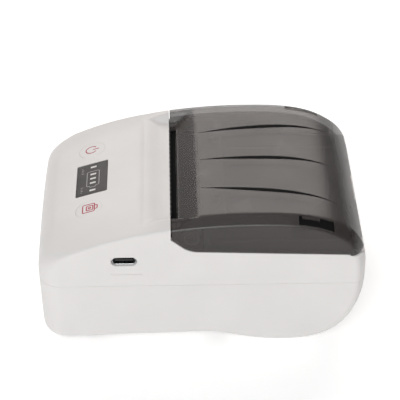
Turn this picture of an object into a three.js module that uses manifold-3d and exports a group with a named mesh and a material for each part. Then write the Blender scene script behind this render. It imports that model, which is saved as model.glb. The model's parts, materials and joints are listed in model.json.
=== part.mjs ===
// A portable 58 mm thermal receipt printer: a white clamshell case, a smoke-tinted roll cover that
// carries the platen, the print mechanism with its gear train, the roll bin, battery and electronics.
// Millimetres. +X is the operator's right, +Y the rear (roll end), +Z up. The origin is on the table
// under the middle of the case. Outlines in the YZ plane are extruded or lofted along X.
import * as THREE from "three";
import { mergeVertices } from "three/addons/utils/BufferGeometryUtils.js";
import Module from "manifold-3d";

const wasm = await Module();
wasm.setup();

// ---------------------------------------------------------------- driving dimensions
const CASE = { halfWidth: 40, front: -60, rear: 60, wall: 2, top: 56.7 };
// the roof's arc and its rear quarter, a superellipse
const TOP = { apexY: 18, radius: 200, rearZ: 31, rearPower: 2.8, rearSteps: 7, roofSteps: 6 };
// the full round bottom under the paper roll, another superellipse
const BULGE = { y: 30, z: 30, radius: 30, power: 2.5, joinAngle: 10, joinZ: 1.6, steps: 10 };
const BASE = { z: 3, tailY: 2, tailZ: 4, corner: 4 };
const FRONT = { bow: 0.6, undercut: 0.6, corner: 8.5, faceTop: 31.5, roofY: 6 };
const BAND = { width: 5, frontWidth: 22, drop: 2, frontGain: 0.0024, frontFrom: -25, rearInset: 2.6 };
const CROWN = { from: -12, to: -35 }; // where the flat band turns into the soft crown
const ROUND = { top: 1, bottom: 3.5, rear: 1.5 }; // radii between the side walls and the rest
const SEAM = { z: 28, gap: 0.3 }; // between the lower and the upper case
// between the upper case and the roll cover, seen from the side
const SPLIT = {
  frontY: -10.8, topZ: 48.8,
  kneeY: -6.3, kneeZ: 45,
  bendY: -4.6,
  lowY: -1.5, lowZ: 43.3,
  rearZ: 41, gap: 0.3,
};
const VALLEY = { startY: -20.8, floorZ: 51, floorHalf: 32, flare: 0.8, lipY: -11.3, coverY: -8.4 };
const FACET = { endY: -0.3, endZ: 56.2 }; // the cover's edge behind the valley
const SLOT = { half: 30.5 };
const HINGE = { y: 56.65, z: 41, barrel: 2.2, midHalf: 8.2, endFrom: 31, endTo: 34, gap: 0.3 };
const PIN = { radius: 1, hole: 1.08 };
const ROLL = { radius: 26.5, wall: 1.2, inner: 29.6, top: 42 };
const PLATEN = { y: -3.5, z: 44.5, radius: 5, half: 29.2, shaft: 2, bush: 3, bushFrom: 30.2, bushTo: 33.9 };
const HOLDER = { screwX: 20, screwY: 6, screwZ: 47.2, screwLength: 5.6, flangeTop: 50 };
const GEAR = { module: 0.5, platen: 24, small: 12, big: 24, pinion: 10, backlash: 0.26 };
const GEAR_X = { outer: -37, platenTo: -35.7, smallTo: -35.3, bigTo: -34.1 };
const MECH = { in: 32.2, out: 33.8, front: -19, frontIn: -17.5, rearIn: -1, rear: 0.8 };
const MECH_Z = { bottom: 20, top: 47.5, guideTop: 38.5 };
const HEAD = { half: 30, back: -12.2, mid: -9.8, face: -8.62, bottom: 37.5, top: 48.5 };
const PIVOT = { y: -11, z: 39.5, radius: 1.15, half: 33.2 };
const MOTOR = { radius: 7.5, from: -31.9, to: -20.5, shaft: 0.75 };
const PCB = { half: 34, frontHalf: 27, front: -55, bevelY: -46, rear: -20, z: 35.7, thick: 1.6 };
const KEY = { x: 19.2, y: -41, radius: 5, hole: 5.25, flange: 5.9, flangeZ: 42.7 };
const PANEL = { half: 10, front: -46.2, rear: -34.6, thick: 1, seat: 1.35 };
const USB = { y: -28, z: 39, width: 8.94, height: 3.26, mouth: 39.1, back: 31.6 };
const USB_CUT = { width: 9.3, height: 3.7 };
const DOOR = { half: 22, front: -50, rear: -16, gap: 0.3, thick: 1.8 };
const BATTERY = { half: 20.5, front: -48.5, rear: -20.5, bottom: 8.6, top: 26 };
const FOOT = { x: 30, y: -40, radius: 4.5, top: 4.1, pocket: 4.4 };
const CASE_SCREW = { frontX: 32.5, frontY: -49.5, rearX: 35.2, rearY: 6 };
const SCREW = { headZ: 14, headTop: 16.2, tip: 35, hole: 2.5 };
const BOARD_SCREW = { frontX: 23.5, frontY: -51.5, rearX: 26.5, rearY: -23.2 };
const BOARD_BOSS = { radius: 2.2, under: 1.4, length: 6.6 };
const DOOR_SCREW = { y: -53.4, headZ: 3.2, length: 4.9, pocket: 2.3 };
const POST = { x: 14, y: -10.5, top: 19.7, screwAbove: 2.4, screwLength: 9 }; // posts under the mechanism
const LEDS = { x: [-7, -2.4, 0, 2.4, 7], y: -40.7 };

// screw sizes: radius and height of the head, radius of the shank
const CASE_THREAD = { head: 2.2, height: 2.2, shank: 1.1 };
const SMALL_THREAD = { head: 1.9, height: 1.1, shank: 0.8 };
const MECH_THREAD = { head: 2.2, height: 1.3, shank: 0.8 };

// ---------------------------------------------------------------- solids and geometry helpers
function solid(geometry) {
  const g = geometry.clone();
  for (const name of Object.keys(g.attributes)) if (name !== "position") g.deleteAttribute(name);
  const merged = mergeVertices(g, 1e-4);
  return new wasm.Manifold(
    new wasm.Mesh({
      numProp: 3,
      vertProperties: new Float32Array(merged.attributes.position.array),
      triVerts: new Uint32Array(merged.index.array),
    }),
  );
}

function geometryOf(made) {
  const mesh = made.getMesh();
  const g = new THREE.BufferGeometry();
  g.setAttribute("position", new THREE.BufferAttribute(new Float32Array(mesh.vertProperties), 3));
  g.setIndex(new THREE.BufferAttribute(new Uint32Array(mesh.triVerts), 1));
  const flat = g.toNonIndexed();
  flat.computeVertexNormals();
  return flat;
}

const ordered = (a, b) => (a < b ? [a, b] : [b, a]);
const join = (...parts) => parts.reduce((a, b) => a.add(b));
const cut = (base, ...tools) => tools.reduce((a, b) => a.subtract(b), base);

function box(x0, x1, y0, y1, z0, z1) {
  const g = new THREE.BoxGeometry(x1 - x0, y1 - y0, z1 - z0);
  return solid(g.translate((x0 + x1) / 2, (y0 + y1) / 2, (z0 + z1) / 2));
}

// A cylinder along X, between two X values.
function rodX(radius, x0, x1, y, z, sides = 16) {
  const g = new THREE.CylinderGeometry(radius, radius, x1 - x0, sides).rotateZ(-Math.PI / 2);
  return solid(g.translate((x0 + x1) / 2, y, z));
}

// A cylinder or cone along Z, between two Z values.
function rodZ(radius, x, y, z0, z1, sides = 12, topRadius = radius) {
  const g = new THREE.CylinderGeometry(topRadius, radius, z1 - z0, sides).rotateX(Math.PI / 2);
  return solid(g.translate(x, y, (z0 + z1) / 2));
}

const YZ_TO_WORLD = new THREE.Matrix4().makeBasis(
  new THREE.Vector3(0, 1, 0),
  new THREE.Vector3(0, 0, 1),
  new THREE.Vector3(1, 0, 0),
);

// An outline in the YZ plane, given as a Shape or as [y, z] points, extruded from x0 to x1.
function prismX(outline, x0, x1, curveSegments = 8) {
  const points = (list) => list.map(([y, z]) => new THREE.Vector2(y, z));
  const shape = Array.isArray(outline) ? new THREE.Shape(points(outline)) : outline;
  const g = new THREE.ExtrudeGeometry(shape, { depth: x1 - x0, bevelEnabled: false, curveSegments });
  return solid(g.translate(0, 0, x0).applyMatrix4(YZ_TO_WORLD));
}

// An outline in the XY plane, extruded from z0 to z1.
function prismZ(shape, z0, z1, curveSegments = 8) {
  const g = new THREE.ExtrudeGeometry(shape, { depth: z1 - z0, bevelEnabled: false, curveSegments });
  return solid(g.translate(0, 0, z0));
}

// A rounded rectangle centred on (cx, cy).
function roundedRect(width, height, radius, cx = 0, cy = 0) {
  const s = new THREE.Shape();
  const [x0, x1, y0, y1] = [cx - width / 2, cx + width / 2, cy - height / 2, cy + height / 2];
  s.moveTo(x0 + radius, y0);
  s.lineTo(x1 - radius, y0);
  s.absarc(x1 - radius, y0 + radius, radius, -Math.PI / 2, 0, false);
  s.absarc(x1 - radius, y1 - radius, radius, 0, Math.PI / 2, false);
  s.absarc(x0 + radius, y1 - radius, radius, Math.PI / 2, Math.PI, false);
  s.absarc(x0 + radius, y0 + radius, radius, Math.PI, 1.5 * Math.PI, false);
  return s;
}

// A closed skin over rings that all have the same number of points, with flat ends.
function loft(rings) {
  const count = rings[0].length;
  const positions = rings.flat().flatMap((p) => [p.x, p.y, p.z]);
  const index = [];
  for (let k = 0; k + 1 < rings.length; k++)
    for (let i = 0; i < count; i++) {
      const [a, b] = [k * count + i, k * count + ((i + 1) % count)];
      const [c, d] = [a + count, b + count];
      index.push(a, b, d, a, d, c);
    }
  const flatten = (ring) => ring.map((p) => new THREE.Vector2(p.y, p.z));
  const last = (rings.length - 1) * count;
  for (const [a, b, c] of THREE.ShapeUtils.triangulateShape(flatten(rings[0]), [])) index.push(a, c, b);
  for (const [a, b, c] of THREE.ShapeUtils.triangulateShape(flatten(rings.at(-1)), []))
    index.push(last + a, last + b, last + c);
  const g = new THREE.BufferGeometry();
  g.setAttribute("position", new THREE.Float32BufferAttribute(positions, 3));
  g.setIndex(index);
  return solid(g);
}

// ---------------------------------------------------------------- the outer form of the case
const steps = (n) => Array.from({ length: n }, (_, i) => (i + 1) / n);
const clamp01 = (t) => Math.min(1, Math.max(0, t));
const mix = (a, b, t) => a + (b - a) * t;

// How far a corner of this radius has drawn the surface in, at distance x from the middle plane.
function cornerInset(x, radius, halfWidth) {
  const u = Math.max(0, Math.abs(x) - (halfWidth - radius));
  return radius - Math.sqrt(Math.max(0, radius * radius - u * u));
}

// The roof's height over the middle plane, in front of its apex.
const roof = (y) => CASE.top - TOP.radius + Math.sqrt(TOP.radius ** 2 - (TOP.apexY - y) ** 2);

// How much the roof falls away towards the sides: a flat band behind, a soft crown in front.
function roofDrop(x, y, halfWidth) {
  const soft = clamp01((CROWN.from - y) / (CROWN.from - CROWN.to));
  const width = mix(BAND.width, BAND.frontWidth, soft);
  const u = clamp01((Math.abs(x) - (halfWidth - width)) / width);
  const depth = BAND.drop + BAND.frontGain * Math.max(0, BAND.frontFrom - y) ** 2;
  return depth * u ** (1 + soft);
}

function bezier(p0, p1, p2, p3, n) {
  const curve = new THREE.CubicBezierCurve(...[p0, p1, p2, p3].map(([a, b]) => new THREE.Vector2(a, b)));
  return curve.getPoints(n).map((p) => [p.x, p.y]);
}

// The outline in the YZ plane at x, moved inwards by inset: base, round bottom, rear, roof and front.
function outlineAt(x, inset) {
  const half = CASE.halfWidth - inset;
  const round = (radius) => cornerInset(x, Math.max(0.4, radius - inset), half);
  const bottom = (z) => z + inset + round(ROUND.bottom);
  const frontY = CASE.front + inset + FRONT.bow * (x / half) ** 2 + round(FRONT.corner);
  const inBand = clamp01((Math.abs(x) - (half - BAND.width)) / BAND.width);
  const rearInset = inset + BAND.rearInset * inBand + round(ROUND.rear);

  // the base, its tail and the round bottom, whose radius changes to the rear wall's on the way up
  const faceFoot = [frontY + FRONT.undercut, bottom(BASE.z) + BASE.corner];
  const baseFront = [faceFoot[0] + BASE.corner, bottom(BASE.z)];
  const baseTail = [BASE.tailY, bottom(BASE.tailZ)];
  const lowRadius = BULGE.radius - inset - round(ROUND.bottom);
  const onBulge = (t) => {
    const angle = (mix(-90 - BULGE.joinAngle, 0, t) * Math.PI) / 180;
    const radiusY = mix(lowRadius, BULGE.radius - rearInset, clamp01(t * 1.6));
    const [c, s] = [Math.cos(angle), Math.sin(angle)];
    const power = 2 / BULGE.power;
    return [
      BULGE.y + radiusY * Math.sign(c) * Math.abs(c) ** power,
      BULGE.z - lowRadius * Math.abs(s) ** power,
    ];
  };
  const points = [
    ...bezier(baseFront, [-30, baseFront[1] + 0.3], [-10, baseTail[1] - 0.2], baseTail, 2),
    ...bezier(baseTail, [7.5, baseTail[1] + 0.1], [13, bottom(BULGE.joinZ)], onBulge(0), 3).slice(1),
    ...steps(BULGE.steps).map(onBulge),
  ];

  // the rear quarter, then the roof forwards and down
  const spanY = CASE.rear - TOP.apexY - rearInset;
  const rise = CASE.top - inset - roofDrop(x, TOP.apexY, half) - round(ROUND.top) - TOP.rearZ;
  for (const t of [0, ...steps(TOP.rearSteps)]) {
    const [c, s] = [Math.cos((t * Math.PI) / 2), Math.sin((t * Math.PI) / 2)].map((v) => Math.max(0, v));
    const power = 2 / TOP.rearPower;
    points.push([TOP.apexY + spanY * c ** power, TOP.rearZ + rise * s ** power]);
  }
  const roofEnd = frontY + FRONT.roofY;
  const roofZ = (y) => roof(y) - inset - roofDrop(x, y, half) - round(ROUND.top);
  for (const t of steps(TOP.roofSteps)) {
    const y = mix(TOP.apexY, roofEnd, t);
    points.push([y, roofZ(y)]);
  }

  // over the front edge, down the front face and round its foot
  const edge = roofZ(roofEnd);
  const faceTop = [frontY, FRONT.faceTop - inset * 0.3];
  const foot = BASE.corner * 0.56;
  const [footStart, footEnd] = [[faceFoot[0], faceFoot[1] - foot], [baseFront[0] - foot, baseFront[1]]];
  return [
    ...points,
    ...bezier([roofEnd, edge], [frontY + 2.2, edge - 2.1], [frontY, edge - 5], faceTop, 4).slice(1),
    ...bezier(faceFoot, footStart, footEnd, baseFront, 3).slice(0, -1),
  ];
}

// Stations across the width, closer together towards the side walls.
function form(inset) {
  const half = CASE.halfWidth - inset;
  const right = [0, 0.3, 1.2, BAND.width, 12, 24].map((d) => half - d);
  const stations = [...right.map((x) => -x), 0, ...right.reverse()];
  return loft(stations.map((x) => outlineAt(x, inset).map(([y, z]) => new THREE.Vector3(x, y, z))));
}

// The dip that the paper leaves through: a floor with flared sides, grown outwards by grow.
function valley(grow) {
  const up = CASE.top + 10;
  const floor = VALLEY.floorZ - grow;
  const start = [VALLEY.startY - grow * 0.9, roof(VALLEY.startY) + 0.4];
  const lip = [VALLEY.lipY, floor];
  const [pull, land] = [[start[0] + 2.2, start[1] - 0.6 - grow], [-16 - grow * 0.4, floor + 0.1]];
  const ramp = bezier(start, pull, land, lip, 6);
  const facetEnd = FACET.endY + grow * 0.9;
  const rise = [
    [VALLEY.coverY + grow * 0.5, floor],
    [facetEnd, FACET.endZ],
    [facetEnd + 8, up],
    [start[0], up],
  ];
  const above = prismX([...ramp, ...rise].reverse(), -CASE.halfWidth, CASE.halfWidth);
  const half = VALLEY.floorHalf + grow * 0.85;
  const top = half + VALLEY.flare * (up - floor);
  const trough = new THREE.Shape(
    [[-half, floor], [half, floor], [top, up], [-top, up]].map(([x, z]) => new THREE.Vector2(x, z)),
  );
  const g = new THREE.ExtrudeGeometry(trough, { depth: 60, bevelEnabled: false });
  return above.intersect(solid(g.rotateX(Math.PI / 2).translate(0, 30, 0)));
}

// The side view of everything that belongs to the roll cover, grown by gap.
function coverSide(gap) {
  const s = new THREE.Shape();
  const far = 80;
  const fall = (SPLIT.lowZ - SPLIT.rearZ) / (HINGE.y - SPLIT.lowY);
  s.moveTo(SPLIT.frontY - gap, far);
  s.lineTo(SPLIT.frontY - gap, SPLIT.topZ - gap * 0.6);
  s.lineTo(SPLIT.kneeY - gap * 0.7, SPLIT.kneeZ - gap * 0.8);
  s.quadraticCurveTo(SPLIT.bendY - gap * 0.4, SPLIT.lowZ - gap, SPLIT.lowY, SPLIT.lowZ - gap);
  s.lineTo(far, SPLIT.lowZ - gap - fall * (far - SPLIT.lowY));
  s.lineTo(far, far);
  return prismX(s, -CASE.halfWidth - 5, CASE.halfWidth + 5, 5);
}

const outerForm = cut(form(0), valley(0));
const innerForm = cut(form(CASE.wall), valley(CASE.wall));
const shell = cut(outerForm, innerForm);
const all = CASE.halfWidth + 5;

// ---------------------------------------------------------------- case shells
const caseScrews = [
  ["front_left", -CASE_SCREW.frontX, CASE_SCREW.frontY],
  ["front_right", CASE_SCREW.frontX, CASE_SCREW.frontY],
  ["rear_left", -CASE_SCREW.rearX, CASE_SCREW.rearY],
  ["rear_right", CASE_SCREW.rearX, CASE_SCREW.rearY],
];
const boardScrews = [
  ["front_left", -BOARD_SCREW.frontX, BOARD_SCREW.frontY],
  ["front_right", BOARD_SCREW.frontX, BOARD_SCREW.frontY],
  ["rear_left", -BOARD_SCREW.rearX, BOARD_SCREW.rearY],
  ["rear_right", BOARD_SCREW.rearX, BOARD_SCREW.rearY],
];

function lowerCase() {
  const below = box(-all, all, -all * 2, all * 2, -5, SEAM.z - SEAM.gap / 2);
  const around = (g, z0, z1) => box(-DOOR.half - g, DOOR.half + g, DOOR.front - g, DOOR.rear + g, z0, z1);
  const raised = [
    around(2.3, 4.5, 7.4),
    ...caseScrews.map(([, x, y]) => rodZ(3.2, x, y, 4.6, SEAM.z - SEAM.gap / 2, 12)),
    ...[-POST.x, POST.x].map((x) => rodZ(3, x, POST.y, 4.8, POST.top, 12)),
    rodZ(3.2, 0, DOOR_SCREW.y, 4.4, 8.4, 12),
  ];
  return cut(
    join(shell.intersect(below), join(...raised).intersect(outerForm)),
    around(-2, -1, 9),
    cut(around(DOOR.gap, -1, 6.4), form(DOOR.thick + DOOR.gap)),
    ...caseScrews.flatMap(([, x, y]) => [
      rodZ(SCREW.hole, x, y, -2, SCREW.headTop + 0.3, 12),
      rodZ(1.5, x, y, 0, 30, 8),
    ]),
    ...[-POST.x, POST.x].map((x) => rodZ(1, x, POST.y, 10, 30, 8)),
    ...[-FOOT.x, FOOT.x].map((x) => rodZ(FOOT.radius + 0.3, x, FOOT.y, 0, FOOT.pocket, 16)),
    ...doorTongues.flatMap((x) => [
      box(x - 3.4, x + 3.4, DOOR.rear - 6, DOOR.rear + 0.2, 5.2, 7.2),
      box(x - 3.4, x + 3.4, DOOR.rear - 0.4, DOOR.rear + 3.8, 5.95, 7.2),
    ]),
    rodZ(DOOR_SCREW.pocket, 0, DOOR_SCREW.y, -1, DOOR_SCREW.headZ + 1.4, 12),
    rodZ(1, 0, DOOR_SCREW.y, 0, 12, 8),
  );
}

// The cover's swing: what the rear edge of the case leaves clear for it.
function hingeSwing() {
  const reach = HINGE.barrel + HINGE.gap;
  return join(
    rodX(reach, -all, all, HINGE.y, HINGE.z),
    box(-all, all, HINGE.y, 80, HINGE.z - reach, 80),
  );
}

function upperCase() {
  const above = box(-all, all, -all * 2, all * 2, SEAM.z + SEAM.gap / 2, 80);
  const slot = box(-SLOT.half, SLOT.half, VALLEY.lipY, 0, 44, 80);
  const posts = [
    ...caseScrews.map(([, x, y]) => rodZ(3.2, x, y, SEAM.z + SEAM.gap / 2, y > 0 ? 39 : 50, 12)),
    ...boardScrews.map(([, x, y]) => rodZ(BOARD_BOSS.radius, x, y, PCB.z + PCB.thick + 0.3, 50, 12)),
  ];
  const knuckle = (x0, x1) => [
    rodX(HINGE.barrel, x0, x1, HINGE.y, HINGE.z),
    box(x0, x1, HINGE.y - 1.8, HINGE.y + 1, HINGE.z - 5, HINGE.z),
    box(x0, x1, HINGE.y - 1.8, HINGE.y + 2.2, HINGE.z - 5, HINGE.z - HINGE.barrel - HINGE.gap),
  ];
  const knuckles = [
    ...knuckle(-HINGE.midHalf, HINGE.midHalf),
    ...knuckle(HINGE.endFrom, HINGE.endTo),
    ...knuckle(-HINGE.endTo, -HINGE.endFrom),
  ];
  const opened = cut(shell.intersect(above), coverSide(SPLIT.gap), hingeSwing(), slot);
  const made = join(opened, join(...posts, ...knuckles).intersect(outerForm));
  const around = (g) => box(-PANEL.half - g, PANEL.half + g, PANEL.front - g, PANEL.rear + g, 30, 60);
  return cut(
    made,
    ...caseScrews.map(([, x, y]) => rodZ(1.3, x, y, 20, SCREW.tip + 1, 8)),
    ...boardScrews.map(([, x, y]) => rodZ(1, x, y, 30, 41.5, 8)),
    cut(outerForm, form(PANEL.seat)).intersect(around(0.15)),
    around(-2),
    ...[-KEY.x, KEY.x].map((x) => rodZ(KEY.hole, x, KEY.y, 30, 60, 24)),
    prismX(roundedRect(USB_CUT.width, USB_CUT.height, USB_CUT.height / 2 - 0.01, USB.y, USB.z), 34, 45, 5),
    rodX(PIN.hole, -HINGE.endTo + 0.4, HINGE.endTo - 0.4, HINGE.y, HINGE.z, 16),
  );
}

// The door hooks in behind with two tongues over the case's inner face and is held in front by a screw.
const doorTongues = [-6.5, 6.5];
function batteryDoor() {
  const opening = box(-DOOR.half, DOOR.half, DOOR.front, DOOR.rear, 0, 9);
  const plate = cut(outerForm, form(DOOR.thick)).intersect(opening);
  const hooks = doorTongues.flatMap((x) => [
    box(x - 3, x + 3, DOOR.rear - 3, DOOR.rear - 0.4, 4.5, 6.9),
    box(x - 3, x + 3, DOOR.rear - 3, DOOR.rear + 3.4, 6.2, 6.9),
  ]);
  return join(plate, ...hooks);
}

// ---------------------------------------------------------------- roll cover and platen
function rollCover() {
  const region = join(coverSide(0), rodX(HINGE.barrel, -all, all, HINGE.y, HINGE.z));
  const skin = cut(shell.intersect(region), box(-SLOT.half, SLOT.half, -30, VALLEY.coverY, 30, 80));
  const from = HINGE.midHalf + HINGE.gap;
  const to = HINGE.endFrom - HINGE.gap;
  const barrel = (x0, x1) => rodX(HINGE.barrel, x0, x1, HINGE.y, HINGE.z);
  const bossAt = (x) => rodZ(2.6, x, HOLDER.screwY, HOLDER.flangeTop + 0.3, 55.5, 16).intersect(outerForm);
  const bosses = holderScrews.map(([, x]) => bossAt(x));
  const made = join(skin, barrel(from, to), barrel(-to, -from), ...bosses);
  const clear = (x0, x1) => rodX(HINGE.barrel + HINGE.gap, x0, x1, HINGE.y, HINGE.z);
  return cut(
    made,
    clear(-from, from),
    clear(to, HINGE.endTo + HINGE.gap),
    clear(-HINGE.endTo - HINGE.gap, -to),
    rodX(PIN.hole, -all, all, HINGE.y, HINGE.z, 16),
    ...holderScrews.map(([, x]) => rodZ(0.95, x, HOLDER.screwY, 48, 54, 12)),
  );
}

// The frame under the cover that carries the platen between two ears, with an arm along each side.
const holderScrews = [["left", -HOLDER.screwX], ["right", HOLDER.screwX]];
function platenHolder() {
  const [inner, outer] = [PLATEN.bushFrom + 0.1, PLATEN.bushFrom + 1.6];
  const wall = [[0, 52.6], [1.9, 50.6], [1.9, 42.4], [3.2, 42.4], [3.2, 52.6]];
  const flange = [[3, 48.6], [9, 48.6], [9, HOLDER.flangeTop], [3, HOLDER.flangeTop]];
  const ear = [[-7.2, 48], [-7.6, 43], [-5, 40.6], [3.2, 40.6], [3.2, 52.6], [0, 52.6]];
  const arm = [[3, 43.6], [32.8, 42.8], [32.8, 50], [28, 52.2], [3, 52.6]];
  const made = join(
    prismX(wall, -outer, outer),
    prismX(flange, -outer, outer),
    ...[-1, 1].flatMap((side) => [
      prismX(ear, ...ordered(side * inner, side * outer)),
      prismX(arm, ...ordered(side * (outer - 1.3), side * outer)),
    ]),
  );
  return cut(
    made,
    rodX(PLATEN.bush + 0.08, -all, all, PLATEN.y, PLATEN.z),
    rodX(PLATEN.radius + 0.7, -PLATEN.half - 0.6, PLATEN.half + 0.6, PLATEN.y, PLATEN.z, 32),
    ...holderScrews.map(([, x]) => rodZ(1.2, x, HOLDER.screwY, 40, 51, 12)),
  );
}

const SHAFT_BORE = PLATEN.shaft + 0.09;
function bush(side) {
  const [x0, x1] = ordered(PLATEN.bushFrom * side, PLATEN.bushTo * side);
  const ring = rodX(PLATEN.bush, x0, x1, PLATEN.y, PLATEN.z);
  return cut(ring, rodX(SHAFT_BORE, -all, all, PLATEN.y, PLATEN.z));
}

const platenRoller = () =>
  cut(
    rodX(PLATEN.radius, -PLATEN.half, PLATEN.half, PLATEN.y, PLATEN.z, 32),
    rodX(SHAFT_BORE, -all, all, PLATEN.y, PLATEN.z),
  );

// A spur gear's side view: straight-sided teeth, with one tooth centred on the angle given.
function gearShape(teeth, y, z, toothAngle, bore) {
  const pitch = (GEAR.module * teeth) / 2;
  const root = pitch - 1.2 * GEAR.module;
  const tip = pitch + 0.85 * GEAR.module;
  const half = (Math.PI * GEAR.module) / 2 - GEAR.backlash;
  const flank = [[root, 0.5 * half + 0.13], [tip, 0.5 * half - 0.14]];
  const at = (r, angle) => new THREE.Vector2(y + r * Math.cos(angle), z + r * Math.sin(angle));
  const points = [];
  for (let i = 0; i < teeth; i++) {
    const mid = toothAngle + (2 * Math.PI * i) / teeth;
    for (const [r, w] of flank) points.push(at(r, mid - w / r));
    for (const [r, w] of [...flank].reverse()) points.push(at(r, mid + w / r));
  }
  const shape = new THREE.Shape(points);
  if (bore) shape.holes.push(new THREE.Path().absarc(y, z, bore, 0, 2 * Math.PI, true));
  return shape;
}

// The gear train in the YZ plane. The platen lifts straight away from the idler as the cover opens.
const liftAngle = Math.atan2(HINGE.y - PLATEN.y, PLATEN.z - HINGE.z);
const meshDistance = (a, b) => (GEAR.module * (a + b)) / 2 + 0.03;
const idlerDistance = meshDistance(GEAR.platen, GEAR.small);
const IDLER = {
  y: PLATEN.y - idlerDistance * Math.cos(liftAngle),
  z: PLATEN.z - idlerDistance * Math.sin(liftAngle),
};
const motorAngle = Math.atan2(-0.8, -0.6);
const motorDistance = meshDistance(GEAR.big, GEAR.pinion);
const MOTOR_AXIS = {
  y: IDLER.y + motorDistance * Math.cos(motorAngle),
  z: IDLER.z + motorDistance * Math.sin(motorAngle),
};

function platenGear() {
  const shape = gearShape(GEAR.platen, PLATEN.y, PLATEN.z, liftAngle + Math.PI, SHAFT_BORE);
  return prismX(shape, GEAR_X.outer, GEAR_X.platenTo, 12);
}

function idlerGear() {
  const small = gearShape(GEAR.small, IDLER.y, IDLER.z, liftAngle + Math.PI / GEAR.small);
  const big = gearShape(GEAR.big, IDLER.y, IDLER.z, motorAngle);
  const body = join(prismX(small, GEAR_X.outer, GEAR_X.smallTo), prismX(big, GEAR_X.smallTo, GEAR_X.bigTo));
  return cut(body, rodX(PIN.hole, -all, 0, IDLER.y, IDLER.z, 16));
}

function motorPinion() {
  const gap = motorAngle + Math.PI + Math.PI / GEAR.pinion;
  const shape = gearShape(GEAR.pinion, MOTOR_AXIS.y, MOTOR_AXIS.z, gap, MOTOR.shaft + 0.08);
  return prismX(shape, GEAR_X.smallTo, GEAR_X.bigTo, 6);
}

// ---------------------------------------------------------------- print mechanism
function mechFrame() {
  const { bottom, top, guideTop } = MECH_Z;
  const slot = [[-3.15, PLATEN.z], [-3.6, 60], [5.2, 60], [3.3, PLATEN.z]].map(([y, z]) => [PLATEN.y + y, z]);
  const plates = [1, -1].map((side) => {
    const [x0, x1] = ordered(side * MECH.in, side * MECH.out);
    return box(x0, x1, MECH.front, MECH.rear, bottom, top);
  });
  const front = cut(
    box(-MECH.out, MECH.out, MECH.front, MECH.frontIn, bottom, top),
    box(-11, 13, MECH.front - 1, MECH.frontIn + 1, 29, 36.5),
  );
  const guide = box(-MECH.out, MECH.out, MECH.rearIn, MECH.rear, bottom, guideTop);
  const feet = [-POST.x, POST.x].map((x) =>
    box(x - 3.6, x + 3.6, MECH.front + 0.5, MECH.rear - 0.5, bottom, bottom + 0.9),
  );
  const made = join(...plates, front, guide, ...feet);
  return cut(
    made,
    prismX(slot, -all, all),
    rodX(PLATEN.bush + 0.12, -all, all, PLATEN.y, PLATEN.z),
    rodX(PIVOT.radius + 0.2, -all, all, PIVOT.y, PIVOT.z, 16),
    rodX(3.7, -all, -MECH.in + 1, MOTOR_AXIS.y, MOTOR_AXIS.z, 20),
    rodX(PIN.radius + 0.05, -all, -MECH.in + 1, IDLER.y, IDLER.z, 16),
    ...[-POST.x, POST.x].map((x) => rodZ(1.3, x, POST.y, 18, 22, 12)),
    rodX(MOTOR.radius + 0.3, MOTOR.from - 0.2, MOTOR.to + 0.3, MOTOR_AXIS.y, MOTOR_AXIS.z, 24),
  );
}

function headHeatsink() {
  const plate = box(-HEAD.half, HEAD.half, HEAD.back, HEAD.mid, HEAD.bottom, HEAD.top);
  return join(plate, rodX(PIVOT.radius, -PIVOT.half, PIVOT.half, PIVOT.y, PIVOT.z, 16));
}

function headCeramic() {
  return box(-HEAD.half, HEAD.half, HEAD.mid + 0.08, HEAD.face, HEAD.bottom + 0.5, HEAD.top);
}

const BAR = { teeth: 19, pitch: 3, bottom: 48.9, root: 50.9, tip: 51.5, thick: 0.5 };
function tearBar() {
  const x0 = (-BAR.teeth * BAR.pitch) / 2;
  const s = new THREE.Shape().moveTo(x0, BAR.bottom).lineTo(-x0, BAR.bottom);
  for (let i = BAR.teeth; i > 0; i--) {
    s.lineTo(x0 + i * BAR.pitch, BAR.root);
    s.lineTo(x0 + (i - 0.5) * BAR.pitch, BAR.tip);
  }
  s.lineTo(x0, BAR.root);
  const g = new THREE.ExtrudeGeometry(s, { depth: BAR.thick, bevelEnabled: false });
  return solid(g.rotateX(Math.PI / 2).translate(0, VALLEY.lipY + BAR.thick + 0.15, 0));
}

// A coil along Y, as a round wire swept on a helix.
class Helix extends THREE.Curve {
  constructor(radius, turns, from, to, x, z) {
    super();
    Object.assign(this, { radius, turns, from, to, x, z });
  }
  getPoint(t, target = new THREE.Vector3()) {
    const angle = 2 * Math.PI * this.turns * t;
    const [x, z] = [this.x + this.radius * Math.cos(angle), this.z + this.radius * Math.sin(angle)];
    return target.set(x, mix(this.from, this.to, t), z);
  }
}

function wire(path, radius, steps, sides = 6) {
  const section = new THREE.Shape(
    Array.from({ length: sides }, (_, i) => {
      const angle = (2 * Math.PI * i) / sides;
      return new THREE.Vector2(radius * Math.cos(angle), radius * Math.sin(angle));
    }),
  );
  return solid(new THREE.ExtrudeGeometry(section, { steps, extrudePath: path, bevelEnabled: false }));
}

const SPRING = { x: 16, z: 44, radius: 1.7, turns: 4, wire: 0.25 };
function headSpring(x) {
  const coil = new Helix(SPRING.radius, SPRING.turns, MECH.frontIn + 0.35, HEAD.back - 0.6, x, SPRING.z);
  return wire(coil, SPRING.wire, 7 * SPRING.turns, 4);
}

// A thin strip in the YZ plane along a list of points, thickened to the left of its direction.
function strip(points, thick) {
  const shifted = points.map(([y, z], i) => {
    const [a, b] = [points[Math.max(0, i - 1)], points[Math.min(points.length - 1, i + 1)]];
    const length = Math.hypot(b[0] - a[0], b[1] - a[1]);
    return [y - (thick * (b[1] - a[1])) / length, z + (thick * (b[0] - a[0])) / length];
  });
  return [...points, ...shifted.reverse()];
}

// The flat cable from the head's foot to the socket under the board.
function headRibbon() {
  const path = bezier([-10.9, 36.9], [-11.4, 32], [-15, 32.6], [-21.4, 34.3], 10);
  return prismX(strip(path, 0.2), -8, 11);
}

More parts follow.
